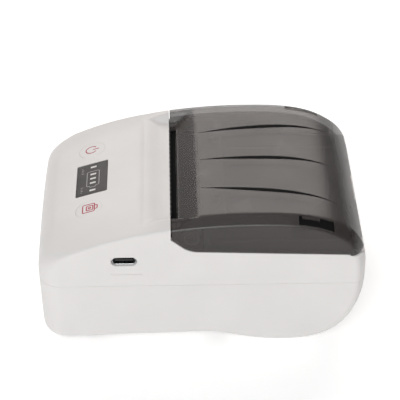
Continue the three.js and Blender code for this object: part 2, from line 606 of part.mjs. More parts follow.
// ---------------------------------------------------------------- electronics
function mainPcb() {
  const left = [[-PCB.half, PCB.rear], [-PCB.half, PCB.bevelY], [-PCB.frontHalf, PCB.front]];
  const right = left.map(([x, y]) => [-x, y]).reverse();
  const outline = new THREE.Shape([...left, ...right].map(([x, y]) => new THREE.Vector2(x, y)));
  const board = prismZ(outline, PCB.z, PCB.z + PCB.thick);
  const top = PCB.z + PCB.thick;
  const leds = LEDS.x.map((x) => box(x - 0.8, x + 0.8, LEDS.y - 0.5, LEDS.y + 0.5, top - 0.1, top + 0.6));
  const chips = [box(-7, 3, -34, -26, top - 0.1, top + 1.1), box(16, 20, -32, -28, top - 0.1, top + 1)];
  const socket = box(-9, 12, -25.5, -21.8, PCB.z - 2.6, PCB.z + 0.1);
  const notches = caseScrews.slice(0, 2).map(([, x, y]) => rodZ(3.9, x, y, 30, 40, 20));
  const holes = boardScrews.map(([, x, y]) => rodZ(1.1, x, y, 30, 40, 12));
  return cut(join(board, ...leds, ...chips, socket), ...notches, ...holes);
}

function usbShell() {
  const outside = roundedRect(USB.width, USB.height, USB.height / 2 - 0.01, USB.y, USB.z);
  const inside = roundedRect(USB.width - 0.6, USB.height - 0.6, USB.height / 2 - 0.31, USB.y, USB.z);
  return cut(prismX(outside, USB.back, USB.mouth, 4), prismX(inside, USB.back + 0.6, 45, 4));
}

function usbTongue() {
  const [half, thick] = [3.35, 0.35];
  return box(USB.back + 0.7, USB.mouth - 0.5, USB.y - half, USB.y + half, USB.z - thick, USB.z + thick);
}

function switchBody(x) {
  const top = PCB.z + PCB.thick;
  const body = box(x - 3, x + 3, KEY.y - 3, KEY.y + 3, top + 0.1, top + 3.5);
  return cut(body, rodZ(1.8, x, KEY.y, top + 1.6, top + 5, 16));
}

const switchPlunger = (x) => rodZ(1.6, x, KEY.y, PCB.z + PCB.thick + 2.4, KEY.flangeZ - 0.1, 16);

function keyCap(x) {
  const cap = rodZ(KEY.radius, x, KEY.y, KEY.flangeZ, 60, 24).intersect(outerForm);
  return join(cap, rodZ(KEY.flange, x, KEY.y, KEY.flangeZ, KEY.flangeZ + 0.7, 24));
}

function indicatorLens() {
  const window = box(-PANEL.half, PANEL.half, PANEL.front, PANEL.rear, 30, 60);
  return cut(outerForm, form(PANEL.thick)).intersect(window);
}

function lightGuide() {
  const slab = cut(form(PANEL.seat + 0.2), form(PANEL.seat + 1.8));
  const plate = slab.intersect(box(-7.6, 7.6, -43.8, -37.4, 30, 60));
  const legs = LEDS.x.map((x) => rodZ(0.6, x, LEDS.y, PCB.z + PCB.thick + 0.9, 45.5, 8));
  return join(plate, ...legs);
}

function batteryPack() {
  const { half, front, rear, bottom, top } = BATTERY;
  return box(-half, half, front, rear, bottom, top);
}

function batteryLead() {
  const points = [[-12, -49.1, 20], [-12, -51.5, 21], [-13, -52.6, 25], [-15, -52, 29.5], [-16, -50.4, 31.9]];
  return wire(new THREE.CatmullRomCurve3(points.map((p) => new THREE.Vector3(...p))), 1, 10, 6);
}

// ---------------------------------------------------------------- roll bin
function rollBin() {
  const outer = ROLL.radius + ROLL.wall;
  const wallTo = ROLL.inner + 1.3;
  const disc = (r) => new THREE.Shape().absarc(BULGE.y, BULGE.z, r, 0, 2 * Math.PI);
  const full = prismX(disc(outer), -wallTo, wallTo, 20);
  const bore = prismX(disc(ROLL.radius), -ROLL.inner, ROLL.inner, 20);
  const mouth = box(-ROLL.inner, ROLL.inner, 2, 80, BULGE.z, 80);
  const aboveTop = box(-all, all, -20, 80, ROLL.top - 1.6, 80);
  const frontLip = box(-wallTo, wallTo, 2.3, 3.5, 28, 38);
  const behind = box(-all, all, 54, 80, 35.5, 80);
  return cut(join(cut(full, bore), frontLip), mouth, aboveTop, behind);
}

// ---------------------------------------------------------------- fasteners
// A screw along Z from the outer face of its head; the shank points up with length above 0.
function screw(x, y, z, length, thread) {
  const way = Math.sign(length);
  const [h0, h1] = ordered(z, z + way * thread.height);
  const [s0, s1] = ordered(z + way * (thread.height - 0.1), z + length);
  return join(rodZ(thread.head, x, y, h0, h1), rodZ(thread.shank, x, y, s0, s1, 6));
}

// ---------------------------------------------------------------- materials and assembly
const paint = (color, roughness = 0.5, metalness = 0, opacity = 1) =>
  new THREE.MeshStandardMaterial({ color, roughness, metalness, opacity, transparent: opacity < 1 });
const white = paint(0xe6e3e0, 0.45);
const smoke = paint(0x3c3a3a, 0.15, 0, 0.6);
const darkPlastic = paint(0x2a2a2c, 0.55);
const blackFrame = paint(0x17181a, 0.6);
const rubber = paint(0x1c1c1c, 0.9);
const steel = paint(0xb9bcc0, 0.3, 1);
const aluminium = paint(0xa9adb1, 0.4, 1);
const gearWhite = paint(0xe9e5d8, 0.5);
const board = paint(0x14532d, 0.5);
const lensDark = paint(0x3b3a3b, 0.25);
const clear = paint(0xe8eef0, 0.1, 0, 0.5);
const battery = paint(0x2c4f86, 0.5);
const lead = paint(0xb3201c, 0.5);
const ceramic = paint(0x26221f, 0.3);
const amber = paint(0xc98a2b, 0.4);

const printer = new THREE.Group();
function place(name, made, material) {
  const mesh = new THREE.Mesh(geometryOf(made), material);
  mesh.name = name;
  printer.add(mesh);
}

place("lower_case", lowerCase(), white);
place("upper_case", upperCase(), white);
place("battery_door", batteryDoor(), white);
const doorScrew = screw(0, DOOR_SCREW.y, DOOR_SCREW.headZ, DOOR_SCREW.length, SMALL_THREAD);
place("battery_door_screw", doorScrew, steel);
for (const [name, x, y] of caseScrews)
  place("case_screw_" + name, screw(x, y, SCREW.headZ, SCREW.tip - SCREW.headZ, CASE_THREAD), steel);
for (const [name, x] of [["left", -FOOT.x], ["right", FOOT.x]])
  place("foot_" + name, rodZ(FOOT.radius - 0.5, x, FOOT.y, 0, FOOT.top, 24, FOOT.radius), rubber);
place("hinge_pin", rodX(PIN.radius, -HINGE.endTo + 0.6, HINGE.endTo - 0.6, HINGE.y, HINGE.z, 16), steel);
place("roll_bin", rollBin(), white);

place("roll_cover", rollCover(), smoke);
place("platen_holder", platenHolder(), white);
for (const [name, x] of holderScrews) {
  const made = screw(x, HOLDER.screwY, HOLDER.screwZ, HOLDER.screwLength, SMALL_THREAD);
  place("holder_screw_" + name, made, steel);
  place("platen_bush_" + name, bush(Math.sign(x)), gearWhite);
}
place("platen_shaft", rodX(PLATEN.shaft, -37.2, 34.3, PLATEN.y, PLATEN.z), steel);
place("platen_roller", platenRoller(), rubber);
place("platen_gear", platenGear(), gearWhite);

place("mech_frame", mechFrame(), blackFrame);
place("idler_gear", idlerGear(), gearWhite);
place("idler_pin", rodX(PIN.radius, -37.4, -32.3, IDLER.y, IDLER.z, 16), steel);
place("stepper_motor", rodX(MOTOR.radius, MOTOR.from, MOTOR.to, MOTOR_AXIS.y, MOTOR_AXIS.z, 32), steel);
place("motor_shaft", rodX(MOTOR.shaft, -35.6, MOTOR.from - 0.1, MOTOR_AXIS.y, MOTOR_AXIS.z, 12), steel);
place("motor_pinion", motorPinion(), gearWhite);
place("head_heatsink", headHeatsink(), aluminium);
place("head_ceramic", headCeramic(), ceramic);
place("head_spring_left", headSpring(-SPRING.x), steel);
place("head_spring_right", headSpring(SPRING.x), steel);
place("head_ribbon", headRibbon(), amber);
place("tear_bar", tearBar(), darkPlastic);
for (const [name, x] of [["left", -POST.x], ["right", POST.x]]) {
  const headTop = MECH_Z.bottom + POST.screwAbove;
  place("mech_screw_" + name, screw(x, POST.y, headTop, -POST.screwLength, MECH_THREAD), steel);
}

place("main_pcb", mainPcb(), board);
for (const [name, x, y] of boardScrews) {
  const made = screw(x, y, PCB.z - BOARD_BOSS.under, BOARD_BOSS.length, SMALL_THREAD);
  place("board_screw_" + name, made, steel);
}
place("usb_shell", usbShell(), steel);
place("usb_tongue", usbTongue(), blackFrame);
const moduleZ = PCB.z + PCB.thick + 0.1;
place("wireless_module", box(-23.6, -9, -35, -23, moduleZ, moduleZ + 2.2), steel);
for (const [name, x] of [["power", -KEY.x], ["feed", KEY.x]]) {
  place(name + "_switch", switchBody(x), blackFrame);
  place(name + "_switch_plunger", switchPlunger(x), gearWhite);
  place(name + "_button", keyCap(x), white);
}
place("indicator_lens", indicatorLens(), lensDark);
place("light_guide", lightGuide(), clear);
place("battery_pack", batteryPack(), battery);
place("battery_lead", batteryLead(), lead);
place("battery_plug", box(-19, -13, -52.4, -48.2, 32.6, 35.6), gearWhite);

export default printer;
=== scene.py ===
# The looks of a portable 58 mm receipt printer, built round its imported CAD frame.
# Lengths in this script are millimetres in the frame's own axes; finish_mesh turns them into metres.
import json
import math

import bmesh
import bpy
from mathutils import Matrix, Vector


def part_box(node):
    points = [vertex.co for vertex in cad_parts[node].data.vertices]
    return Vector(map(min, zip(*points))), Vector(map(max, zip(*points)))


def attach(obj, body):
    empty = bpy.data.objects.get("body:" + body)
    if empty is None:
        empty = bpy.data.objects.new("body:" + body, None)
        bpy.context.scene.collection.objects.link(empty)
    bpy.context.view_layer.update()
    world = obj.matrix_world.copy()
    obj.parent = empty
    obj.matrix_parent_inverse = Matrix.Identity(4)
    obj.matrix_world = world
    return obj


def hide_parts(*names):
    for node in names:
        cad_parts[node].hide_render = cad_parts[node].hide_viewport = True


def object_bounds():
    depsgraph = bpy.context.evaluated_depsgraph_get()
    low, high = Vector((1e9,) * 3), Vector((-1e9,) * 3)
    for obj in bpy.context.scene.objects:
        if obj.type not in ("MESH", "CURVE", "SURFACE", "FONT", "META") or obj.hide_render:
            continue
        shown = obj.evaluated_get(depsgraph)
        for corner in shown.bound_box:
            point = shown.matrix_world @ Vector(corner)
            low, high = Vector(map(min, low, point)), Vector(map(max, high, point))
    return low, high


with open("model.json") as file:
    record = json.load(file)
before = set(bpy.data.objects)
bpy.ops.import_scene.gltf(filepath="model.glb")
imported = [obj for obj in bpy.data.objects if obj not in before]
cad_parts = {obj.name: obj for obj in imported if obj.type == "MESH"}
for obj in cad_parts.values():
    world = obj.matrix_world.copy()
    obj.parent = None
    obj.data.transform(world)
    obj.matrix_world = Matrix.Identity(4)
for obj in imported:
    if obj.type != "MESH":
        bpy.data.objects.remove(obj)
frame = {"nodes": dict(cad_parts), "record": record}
cad_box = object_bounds()

MM = 0.001
LOW, HIGH = (tuple(v / MM for v in corner) for corner in cad_box)


def node_box(name):
    """A CAD node's lowest and highest corner in millimetres."""
    return tuple(tuple(v / MM for v in corner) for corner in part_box(name))


def node_centre(name):
    low, high = node_box(name)
    return tuple((a + b) / 2 for a, b in zip(low, high))


# ---- dimensions of the outer form
HALF_WIDTH = HIGH[0]
FRONT = LOW[1]
REAR = HIGH[1]
TOP = HIGH[2]
WALL = 2.0
APEX_Y, ROOF_RADIUS = 18.0, 200.0  # the roof is an arc of this radius, highest at this Y
REAR_Z, REAR_POWER = 31.0, 2.8  # the rear quarter is a superellipse from this height up
BULGE_Y = BULGE_Z = BULGE_RADIUS = 30.0
BULGE_POWER = 2.5  # the round bottom is a superellipse too
BULGE_JOIN, BULGE_JOIN_Z = 10.0, 1.6  # degrees before the lowest point, and the tail's height there
BASE_Z, BASE_CORNER = 3.0, 4.0
BASE_TAIL = (2.0, 4.0)  # where the flat base ends and the tail to the round bottom starts
BASE_PULLS, TAIL_PULL, TAIL_END = ((-30.0, 0.3), (-10.0, -0.2)), (7.5, 0.1), 13.0  # their curves' handles
FACE_BOW, FACE_UNDERCUT, FACE_CORNER, FACE_TOP = 0.6, 0.6, 8.5, 31.5
EDGE_RUN, EDGE_DROP = 6.0, 5.0  # how far behind and under its end the front edge's curve starts
EDGE_PULL = (2.2, 2.1)
BAND_WIDTH, BAND_DROP, BAND_REAR = 5.0, 2.0, 2.6
CROWN_WIDTH, CROWN_FROM, CROWN_TO = 22.0, -12.0, -35.0
CROWN_DEEPENS, CROWN_GAIN = -25.0, 0.0024  # in front of this Y the crown also falls with the distance squared
ROUND_TOP, ROUND_BOTTOM, ROUND_REAR = 1.0, 3.5, 1.5
SEAM_Z, GAP = 28.0, 0.3
SPLIT_Y, SPLIT_TOP_Z = -10.8, 48.8
KNEE, LOW_EDGE, LOW_REAR_Z = (-6.3, 45.0), (-1.5, 43.3), 41.0
VALLEY_START, VALLEY_LIP, VALLEY_FLOOR, VALLEY_HALF, VALLEY_FLARE = -20.8, -11.3, 51.0, 32.0, 0.8
VALLEY_RISE, VALLEY_FRONT = 0.35, ((2.2, -0.6), (-16.0, 0.1))  # the slope before it, and its curve's handles
FACET_START, FACET_END = (-8.4, 51.0), (-0.3, 56.2)
CORNER_SOFT, VALLEY_SOFT, VALLEY_SOFT_START, FACET_SOFT = 0.35, 0.25, 1.6, 0.3  # roundings of corners
INNER_SIDE, INNER_WHITE, INNER_SMOKE = 0.85, 0.4, 0.3  # shares of WALL that shift the dip's inner skin
SLOT_HALF = 30.5
PIN_Y, PIN_Z = node_centre("hinge_pin")[1:]
BARREL, BARREL_END, BARREL_FULL = 2.2, 0.5, 34.4  # radius, radius at the sides, and where it starts to thin


# ---- small maths
QUARTER_PULL = 0.56  # a cubic curve's handles, as a share of the radius, for a quarter turn


def clamp(t, low=0.0, high=1.0):
    return min(high, max(low, t))


def mix(a, b, t):
    return a + (b - a) * t


def mix_point(a, b, t):
    return tuple(mix(p, q, t) for p, q in zip(a, b))


def soft_max(a, b, k):
    """The larger of two numbers, with the corner between them rounded over about k."""
    return 0.5 * (a + b + math.hypot(a - b, k))


def soft_min(a, b, k):
    return 0.5 * (a + b - math.hypot(a - b, k))


def spread(low, high, count):
    """count numbers after low, up to and including high, evenly spread."""
    return [mix(low, high, (i + 1) / count) for i in range(count)]


def bezier(p0, p1, p2, p3, t):
    s = 1 - t
    weights = (s**3, 3 * s * s * t, 3 * s * t * t, t**3)
    return tuple(sum(w * p[i] for w, p in zip(weights, (p0, p1, p2, p3))) for i in range(2))


def smooth_step(t):
    return t * t * (3 - 2 * t)


def bisect(low, high, before, steps=30):
    """Where before(t) turns false between low and high."""
    for _ in range(steps):
        t = (low + high) / 2
        if before(t):
            low = t
        else:
            high = t
    return low


# ---- the outer form
def roof(y):
    return TOP - ROOF_RADIUS + math.sqrt(ROOF_RADIUS**2 - (APEX_Y - y) ** 2)


class Form:
    """The case's outer form moved inwards by inset: every outline is a function of x."""

    def __init__(self, inset=0.0):
        self.inset = inset
        self.half = HALF_WIDTH - inset

    def corner(self, x, radius):
        radius = max(0.4, radius - self.inset)
        u = max(0.0, abs(x) - (self.half - radius))
        return radius - math.sqrt(max(0.0, radius * radius - u * u))

    def front_y(self, x):
        return FRONT + self.inset + FACE_BOW * (x / self.half) ** 2 + self.corner(x, FACE_CORNER)

    def drop(self, x, y):
        """How far the roof falls away towards the sides: a flat band behind, a soft crown in front."""
        soft = smooth_step(clamp((CROWN_FROM - y) / (CROWN_FROM - CROWN_TO)))
        width = mix(BAND_WIDTH, CROWN_WIDTH, soft)
        past = max(0, abs(x) - self.half + width)
        if soft < 1:
            past = soft_max(abs(x) - (self.half - width), 0, CORNER_SOFT)
        depth = BAND_DROP + CROWN_GAIN * max(0.0, CROWN_DEEPENS - y) ** 2
        return depth * (past / width) ** (1 + soft)

    def roof_z(self, x, y):
        return roof(y) - self.inset - self.drop(x, y) - self.corner(x, ROUND_TOP)

    def rear_inset(self, x):
        past = soft_max(abs(x) - (self.half - BAND_WIDTH), 0, CORNER_SOFT) / BAND_WIDTH
        return self.inset + BAND_REAR * past + self.corner(x, ROUND_REAR)

    def rear(self, x, angle):
        """The rear quarter, from the widest point at angle 0 to the apex at 90 degrees."""
        span = REAR - APEX_Y - self.rear_inset(x)
        rise = TOP - self.inset - self.drop(x, APEX_Y) - self.corner(x, ROUND_TOP) - REAR_Z
        c, s = max(0.0, math.cos(math.radians(angle))), math.sin(math.radians(angle))
        power = 2 / REAR_POWER
        return APEX_Y + span * c**power, REAR_Z + rise * s**power

    def bottom(self, x, z):
        return z + self.inset + self.corner(x, ROUND_BOTTOM)

    def bulge(self, x, t):
        """The round bottom, from where the base joins it at t 0 to the widest point at t 1."""
        low = BULGE_RADIUS - self.inset - self.corner(x, ROUND_BOTTOM)
        wide = BULGE_RADIUS - self.rear_inset(x)
        angle = math.radians(mix(-90 - BULGE_JOIN, 0, t))
        c, s = math.cos(angle), abs(math.sin(angle))
        across = math.copysign(abs(c) ** (2 / BULGE_POWER), c)
        return BULGE_Y + mix(low, wide, clamp(t * 1.6)) * across, BULGE_Z - low * s ** (2 / BULGE_POWER)

    def rear_y(self, x, z):
        """The rear wall's Y at height z, for heights between the bulge's middle and the roof."""
        if z <= REAR_Z:
            return self.bulge(x, 1)[0]
        return self.rear(x, bisect(0.0, 90.0, lambda angle: self.rear(x, angle)[1] < z, 40))[0]

    def edge(self, x, t):
        """Over the front edge: from the face at t 0 to the roof at t 1."""
        y = self.front_y(x)
        end = (y + EDGE_RUN, self.roof_z(x, y + EDGE_RUN))
        face = (y, FACE_TOP - self.inset * 0.3)
        return bezier(face, (y, end[1] - EDGE_DROP), (y + EDGE_PULL[0], end[1] - EDGE_PULL[1]), end, t)

    def foot(self, x, t):
        """Round the front's lower corner: from the face at t 0 to the base at t 1."""
        y = self.front_y(x) + FACE_UNDERCUT
        z = self.bottom(x, BASE_Z)
        pull = BASE_CORNER * QUARTER_PULL
        start, end = (y, z + BASE_CORNER), (y + BASE_CORNER, z)
        return bezier(start, (y, start[1] - pull), (end[0] - pull, z), end, t)

    def base_end(self, x):
        return BASE_TAIL[0], self.bottom(x, BASE_TAIL[1])

    def base(self, x, t):
        start = self.foot(x, 1)
        tail = self.base_end(x)
        handles = [(y, end[1] + up) for (y, up), end in zip(BASE_PULLS, (start, tail))]
        return bezier(start, *handles, tail, t)

    def tail(self, x, t):
        """From the base's end up at t 0 to the round bottom at t 1."""
        tail = self.base_end(x)
        handles = (TAIL_PULL[0], tail[1] + TAIL_PULL[1]), (TAIL_END, self.bottom(x, BULGE_JOIN_Z))
        return bezier(tail, *handles, self.bulge(x, 0), t)


def white_valley(x, y):
    """The dip in front of the slot: a curved floor between flared sides."""
    start = (VALLEY_START, roof(VALLEY_START) + 0.3)
    if y <= VALLEY_START:
        floor = start[1] + (VALLEY_START - y) * VALLEY_RISE
    elif y >= VALLEY_LIP:
        floor = VALLEY_FLOOR
    else:
        (near_y, near_z), (far_y, far_z) = VALLEY_FRONT
        handles = (start[0] + near_y, start[1] + near_z), (far_y, VALLEY_FLOOR + far_z)
        curve = lambda t: bezier(start, *handles, (VALLEY_LIP, VALLEY_FLOOR), t)
        floor = curve(bisect(0.0, 1.0, lambda t: curve(t)[0] < y))[1]
    return soft_max(floor, VALLEY_FLOOR + (abs(x) - VALLEY_HALF) / VALLEY_FLARE, VALLEY_SOFT)


def cover_valley(x, y):
    """The cover's part of the dip: the floor, then a straight facet up to the roof."""
    slope = (FACET_END[1] - FACET_START[1]) / (FACET_END[0] - FACET_START[0])
    facet = soft_max(FACET_START[1], FACET_START[1] + slope * (y - FACET_START[0]), FACET_SOFT / 2)
    return soft_max(facet, VALLEY_FLOOR + (abs(x) - VALLEY_HALF) / VALLEY_FLARE, FACET_SOFT)


# ---- shells made of two matching skins
class Shell:
    """A shell with wall thickness: cells of an outer skin, and an inner skin with the same cells."""

    def __init__(self):
        self.index = {}
        self.outer, self.inner, self.faces = [], [], []

    def vertex(self, outer, inner):
        key = tuple(round(v, 3) for v in outer)
        if key not in self.index:
            self.index[key] = len(self.outer)
            self.outer.append(outer)
            self.inner.append(inner)
        return self.index[key]

    def grid(self, outer_rows, inner_rows, hidden=lambda a, b: False):
        """Adds a grid of cells; hidden(corner, opposite corner) leaves a cell out."""
        ids = [[self.vertex(o, i) for o, i in zip(*rows)] for rows in zip(outer_rows, inner_rows)]
        for r in range(len(ids) - 1):
            for c in range(len(ids[0]) - 1):
                if hidden(outer_rows[r][c], outer_rows[r + 1][c + 1]):
                    continue
                corners = (ids[r][c], ids[r][c + 1], ids[r + 1][c + 1], ids[r + 1][c])
                corners = [v for k, v in enumerate(corners) if v != corners[k - 1]]
                if len(set(corners)) == len(corners) > 2:
                    self.faces.append(corners)

    def build(self, name, rim):
        """The closed mesh object, with its outer rims rounded by rim."""
        bm = bmesh.new()
        outer = [bm.verts.new(v) for v in self.outer]
        inner = [bm.verts.new(v) for v in self.inner]
        for face in self.faces:
            bm.faces.new([outer[v] for v in face])
        rims = [e for e in bm.edges if len(e.link_faces) == 1]
        loops = [e.link_loops[0] for e in rims]
        pairs = [(loop.vert, loop.link_loop_next.vert) for loop in loops]
        position = {v: k for k, v in enumerate(outer)}
        for face in self.faces:
            bm.faces.new([inner[v] for v in reversed(face)])
        for a, b in pairs:
            bm.faces.new([b, a, inner[position[a]], inner[position[b]]])
        bmesh.ops.delete(bm, geom=[v for v in bm.verts if not v.link_faces], context="VERTS")
        bmesh.ops.recalc_face_normals(bm, faces=bm.faces)
        live = [e for e in rims if e.is_valid]
        rounding = {"offset": rim, "segments": 3, "profile": 0.5, "affect": "EDGES", "clamp_overlap": True}
        bmesh.ops.bevel(bm, geom=live, **rounding)
        for vertex in bm.verts:
            vertex.co.x = clamp(vertex.co.x, -HALF_WIDTH, HALF_WIDTH)
        if bm.calc_volume(signed=True) < 0:
            bmesh.ops.reverse_faces(bm, faces=bm.faces)
        return finish_mesh(name, bm)


SMOOTH_ANGLE = math.radians(32)


def linked(name, bm):
    """A linked, smoothly shaded object from a bmesh in metres."""
    mesh = bpy.data.meshes.new(name)
    bm.to_mesh(mesh)
    bm.free()
    piece = bpy.data.objects.new(name, mesh)
    bpy.context.scene.collection.objects.link(piece)
    shade(piece)
    return piece


def finish_mesh(name, bm):
    """A linked object from a bmesh in millimetres."""
    bmesh.ops.transform(bm, matrix=Matrix.Scale(MM, 4), verts=bm.verts)
    return linked(name, bm)


def shade(piece):
    """Smooth shading, with the edges over SMOOTH_ANGLE kept sharp."""
    piece.data.polygons.foreach_set("use_smooth", [True] * len(piece.data.polygons))
    piece.data.set_sharp_from_angle(angle=SMOOTH_ANGLE)


def apply_modifiers(piece):
    """Replaces the piece's mesh by what its modifiers make of it."""
    bpy.context.view_layer.update()
    evaluated = piece.evaluated_get(bpy.context.evaluated_depsgraph_get())
    mesh = bpy.data.meshes.new_from_object(evaluated)
    piece.modifiers.clear()
    old = piece.data
    piece.data = mesh
    bpy.data.meshes.remove(old)
    mesh.name = piece.name


def cut(piece, *tools):
    """Cuts closed tool objects out of a piece and removes the tools."""
    for tool in tools:
        modifier = piece.modifiers.new("cut", "BOOLEAN")
        modifier.operation = "DIFFERENCE"
        modifier.solver = "EXACT"
        modifier.object = tool
    apply_modifiers(piece)
    for tool in tools:
        bpy.data.objects.remove(tool)
    shade(piece)


# ---- the three case shells
OUTER, INNER = Form(0.0), Form(WALL)
SIDE_STEPS = (0, 0.012, 0.05, 0.11, 0.2, 0.32, 0.46, 0.64, 0.85, 1.1, 1.4, 1.9, 2.4, 2.9, 3.4)


def stations(fine_from=None):
    """X values from side to side, dense in the edge rounds and, outside fine_from, in the valley's walls."""
    side = sorted(HALF_WIDTH - d for d in SIDE_STEPS)
    fine = fine_from if fine_from else side[0] - 6
    step = 0.3 if fine_from else 0.6
    near = spread(fine, side[0], round((side[0] - fine) / step))[:-1]
    middle = spread(0, fine, round(fine / 1.5))
    right = middle + near + side
    return [-x for x in reversed(right)] + [0.0] + right


def inner_x(x):
    """Where the inner skin's column lies that belongs to the outer skin's column at x."""
    share = clamp((abs(x) - SLOT_HALF) / (HALF_WIDTH - SLOT_HALF))
    return math.copysign(mix(min(abs(x), SLOT_HALF), HALF_WIDTH - WALL, share) if share else abs(x), x)


def full_rows(profile, foot, columns, shares):
    """Rows of (x, y, z): down the left wall, over the columns, and down the right wall.

    Each row of the profile gives (y, z) at an x, foot(row, point) a wall's lower end; shares divide the wall.
    """
    rows = []
    for k, at in enumerate(profile):
        belt = [(x, *at(x)) for x in columns]
        walls = []
        for x, y, z in (belt[0], belt[-1]):
            low = foot(k, (y, z))
            walls.append([(x, *mix_point((y, z), low, s)) for s in shares])
        rows.append(list(reversed(walls[0])) + belt + walls[1])
    return rows


def length_shares(points):
    """Each point's share of a polyline's length."""
    lengths = [0.0]
    for a, b in zip(points, points[1:]):
        lengths.append(lengths[-1] + math.dist(a, b))
    return [v / lengths[-1] for v in lengths]


def lower_edge(y, gap=0.0):
    """Height of the line between the cover's side and the case's, at Y; the case's edge lies gap lower."""
    if y < KNEE[0]:
        z = mix(SPLIT_TOP_Z, KNEE[1], clamp((y - SPLIT_Y) / (KNEE[0] - SPLIT_Y)))
    elif y < LOW_EDGE[0]:
        t = (y - KNEE[0]) / (LOW_EDGE[0] - KNEE[0])
        z = (1 - t) ** 2 * KNEE[1] + 2 * t * (1 - t) * (LOW_EDGE[1] + 0.15) + t * t * LOW_EDGE[1]
    else:
        z = mix(LOW_EDGE[1], LOW_REAR_Z, (y - LOW_EDGE[0]) / (PIN_Y - LOW_EDGE[0]))
    return z - gap


CASE_SPLIT_Y = SPLIT_Y - GAP
SEAM_GAP = 0.05  # the two case shells nearly touch
UPPER_SEAM_Z, LOWER_SEAM_Z = SEAM_Z + SEAM_GAP / 2, SEAM_Z - SEAM_GAP / 2
WALL_SHARES = (0.2, 0.4, 0.6, 0.8, 1.0)
VALLEY_FINE_X, FACET_FINE_X, FINE_ROOF_Y = 30.1, 29.8, -22.4  # where the grids grow dense
CASE_RIM, COVER_RIM = 0.07, 0.3  # the shells' rims are rounded by this


def barrel_radius(x):
    """The cover's rolled rear edge, which grows thinner towards the sides."""
    t = clamp((abs(x) - BARREL_FULL) / (HALF_WIDTH - 1 - BARREL_FULL))
    return mix(BARREL, BARREL_END, smooth_step(t))


def barrel_y(x):
    """The rolled edge's Y: round the pin, and further forward where the sides curve in."""
    return min(PIN_Y, OUTER.rear_y(x, PIN_Z) - barrel_radius(x))


def upper_case_top(y, x=HALF_WIDTH):
    """The case's edge under the cover's side, and round the barrel behind it."""
    reach, centre = barrel_radius(x) + GAP, barrel_y(x)
    if y < centre - reach:
        return lower_edge(y, GAP)
    if y < centre:
        return PIN_Z - math.sqrt(reach**2 - (y - centre) ** 2)
    return PIN_Z - reach


def skin_pairs(columns):
    """The form, the thickness under it and the columns of the outer skin, then of the inner skin."""
    return (OUTER, 0.0, columns), (INNER, WALL, [inner_x(x) for x in columns])


def upper_rows(form, grow):
    """The upper case's rows from the seam up the face, over the roof and down the valley to the split."""

    def roofed(y_of):
        def row(x):
            y = y_of(x)
            z = form.roof_z(x, y)
            if y < VALLEY_START - 3:
                return y, z
            dip = white_valley(max(0, abs(x) - INNER_SIDE * grow), y + INNER_WHITE * grow) - grow
            softness = mix(VALLEY_SOFT_START, CORNER_SOFT, clamp((y - VALLEY_START) / 6))
            return y, soft_min(z, dip, softness * clamp((y - VALLEY_START + 3) / 3))

        return row

    front_end = lambda x: form.front_y(x) + EDGE_RUN
    rows = [lambda x, z=z: (form.front_y(x), z) for z in (UPPER_SEAM_Z, 28.9, 30.2, FACE_TOP)]
    rows += [lambda x, t=t: form.edge(x, t) for t in spread(0, 1, 16)]
    rows += [roofed(lambda x, t=t: mix(front_end(x), FINE_ROOF_Y, t)) for t in spread(0, 1, 22)]
    return rows + [roofed(lambda x, y=y: y) for y in spread(FINE_ROOF_Y, CASE_SPLIT_Y, 32)]


def bay_walls(form):
    """The walls beside and behind the roll bay, in rows from the cover's edge down to the seam."""
    half, corner_y = form.half, OUTER.rear_y(HALF_WIDTH, PIN_Z)
    tops = [CASE_SPLIT_Y, -10, -9, -8, -7, KNEE[0], -5.7, -5.1, -4.5, -3.9, -3.2, -2.4, LOW_EDGE[0]]
    tops += spread(LOW_EDGE[0], PIN_Y - BARREL - GAP, 36)
    tops += [y for y in spread(tops[-1], PIN_Y, 8) if y < corner_y] + [corner_y]
    rows = []
    for s in (0.0,) + WALL_SHARES:
        side = []
        for y in tops:
            z = mix(upper_case_top(y), UPPER_SEAM_Z, s)
            share = (y - CASE_SPLIT_Y) / (corner_y - CASE_SPLIT_Y)
            side.append((mix(CASE_SPLIT_Y, form.rear_y(half, z), share), z))
        back = []
        for x in reversed([x for x in stations() if abs(x) < HALF_WIDTH]):
            inside = x if form is OUTER else x * half / HALF_WIDTH
            z = mix(upper_case_top(form.rear_y(inside, PIN_Z - 2), x), UPPER_SEAM_Z, s)
            back.append((inside, form.rear_y(inside, z), z))
        left = [(-half, y, z) for y, z in reversed(side)]
        rows.append([(half, y, z) for y, z in side] + back + left)
    return rows


def make_upper_case():
    shell = Shell()
    skins = []
    for form, grow, xs in skin_pairs(stations(VALLEY_FINE_X)):
        profile = upper_rows(form, grow)
        side = [row(xs[-1]) for row in profile]
        start, top, lengths = side[0][0], side[-1][1], length_shares(side)
        knee = (top - (SPLIT_TOP_Z - GAP)) / (top - UPPER_SEAM_Z)
        shares = [knee] + [mix(knee, 1, s) for s in WALL_SHARES]
        foot = lambda k, point: (mix(start, CASE_SPLIT_Y, lengths[k]), UPPER_SEAM_Z)
        skins.append(full_rows(profile, foot, xs, shares))
    shell.grid(*skins)
    shell.grid(bay_walls(OUTER), bay_walls(INNER))
    return shell.build("upper_case_shell", CASE_RIM)


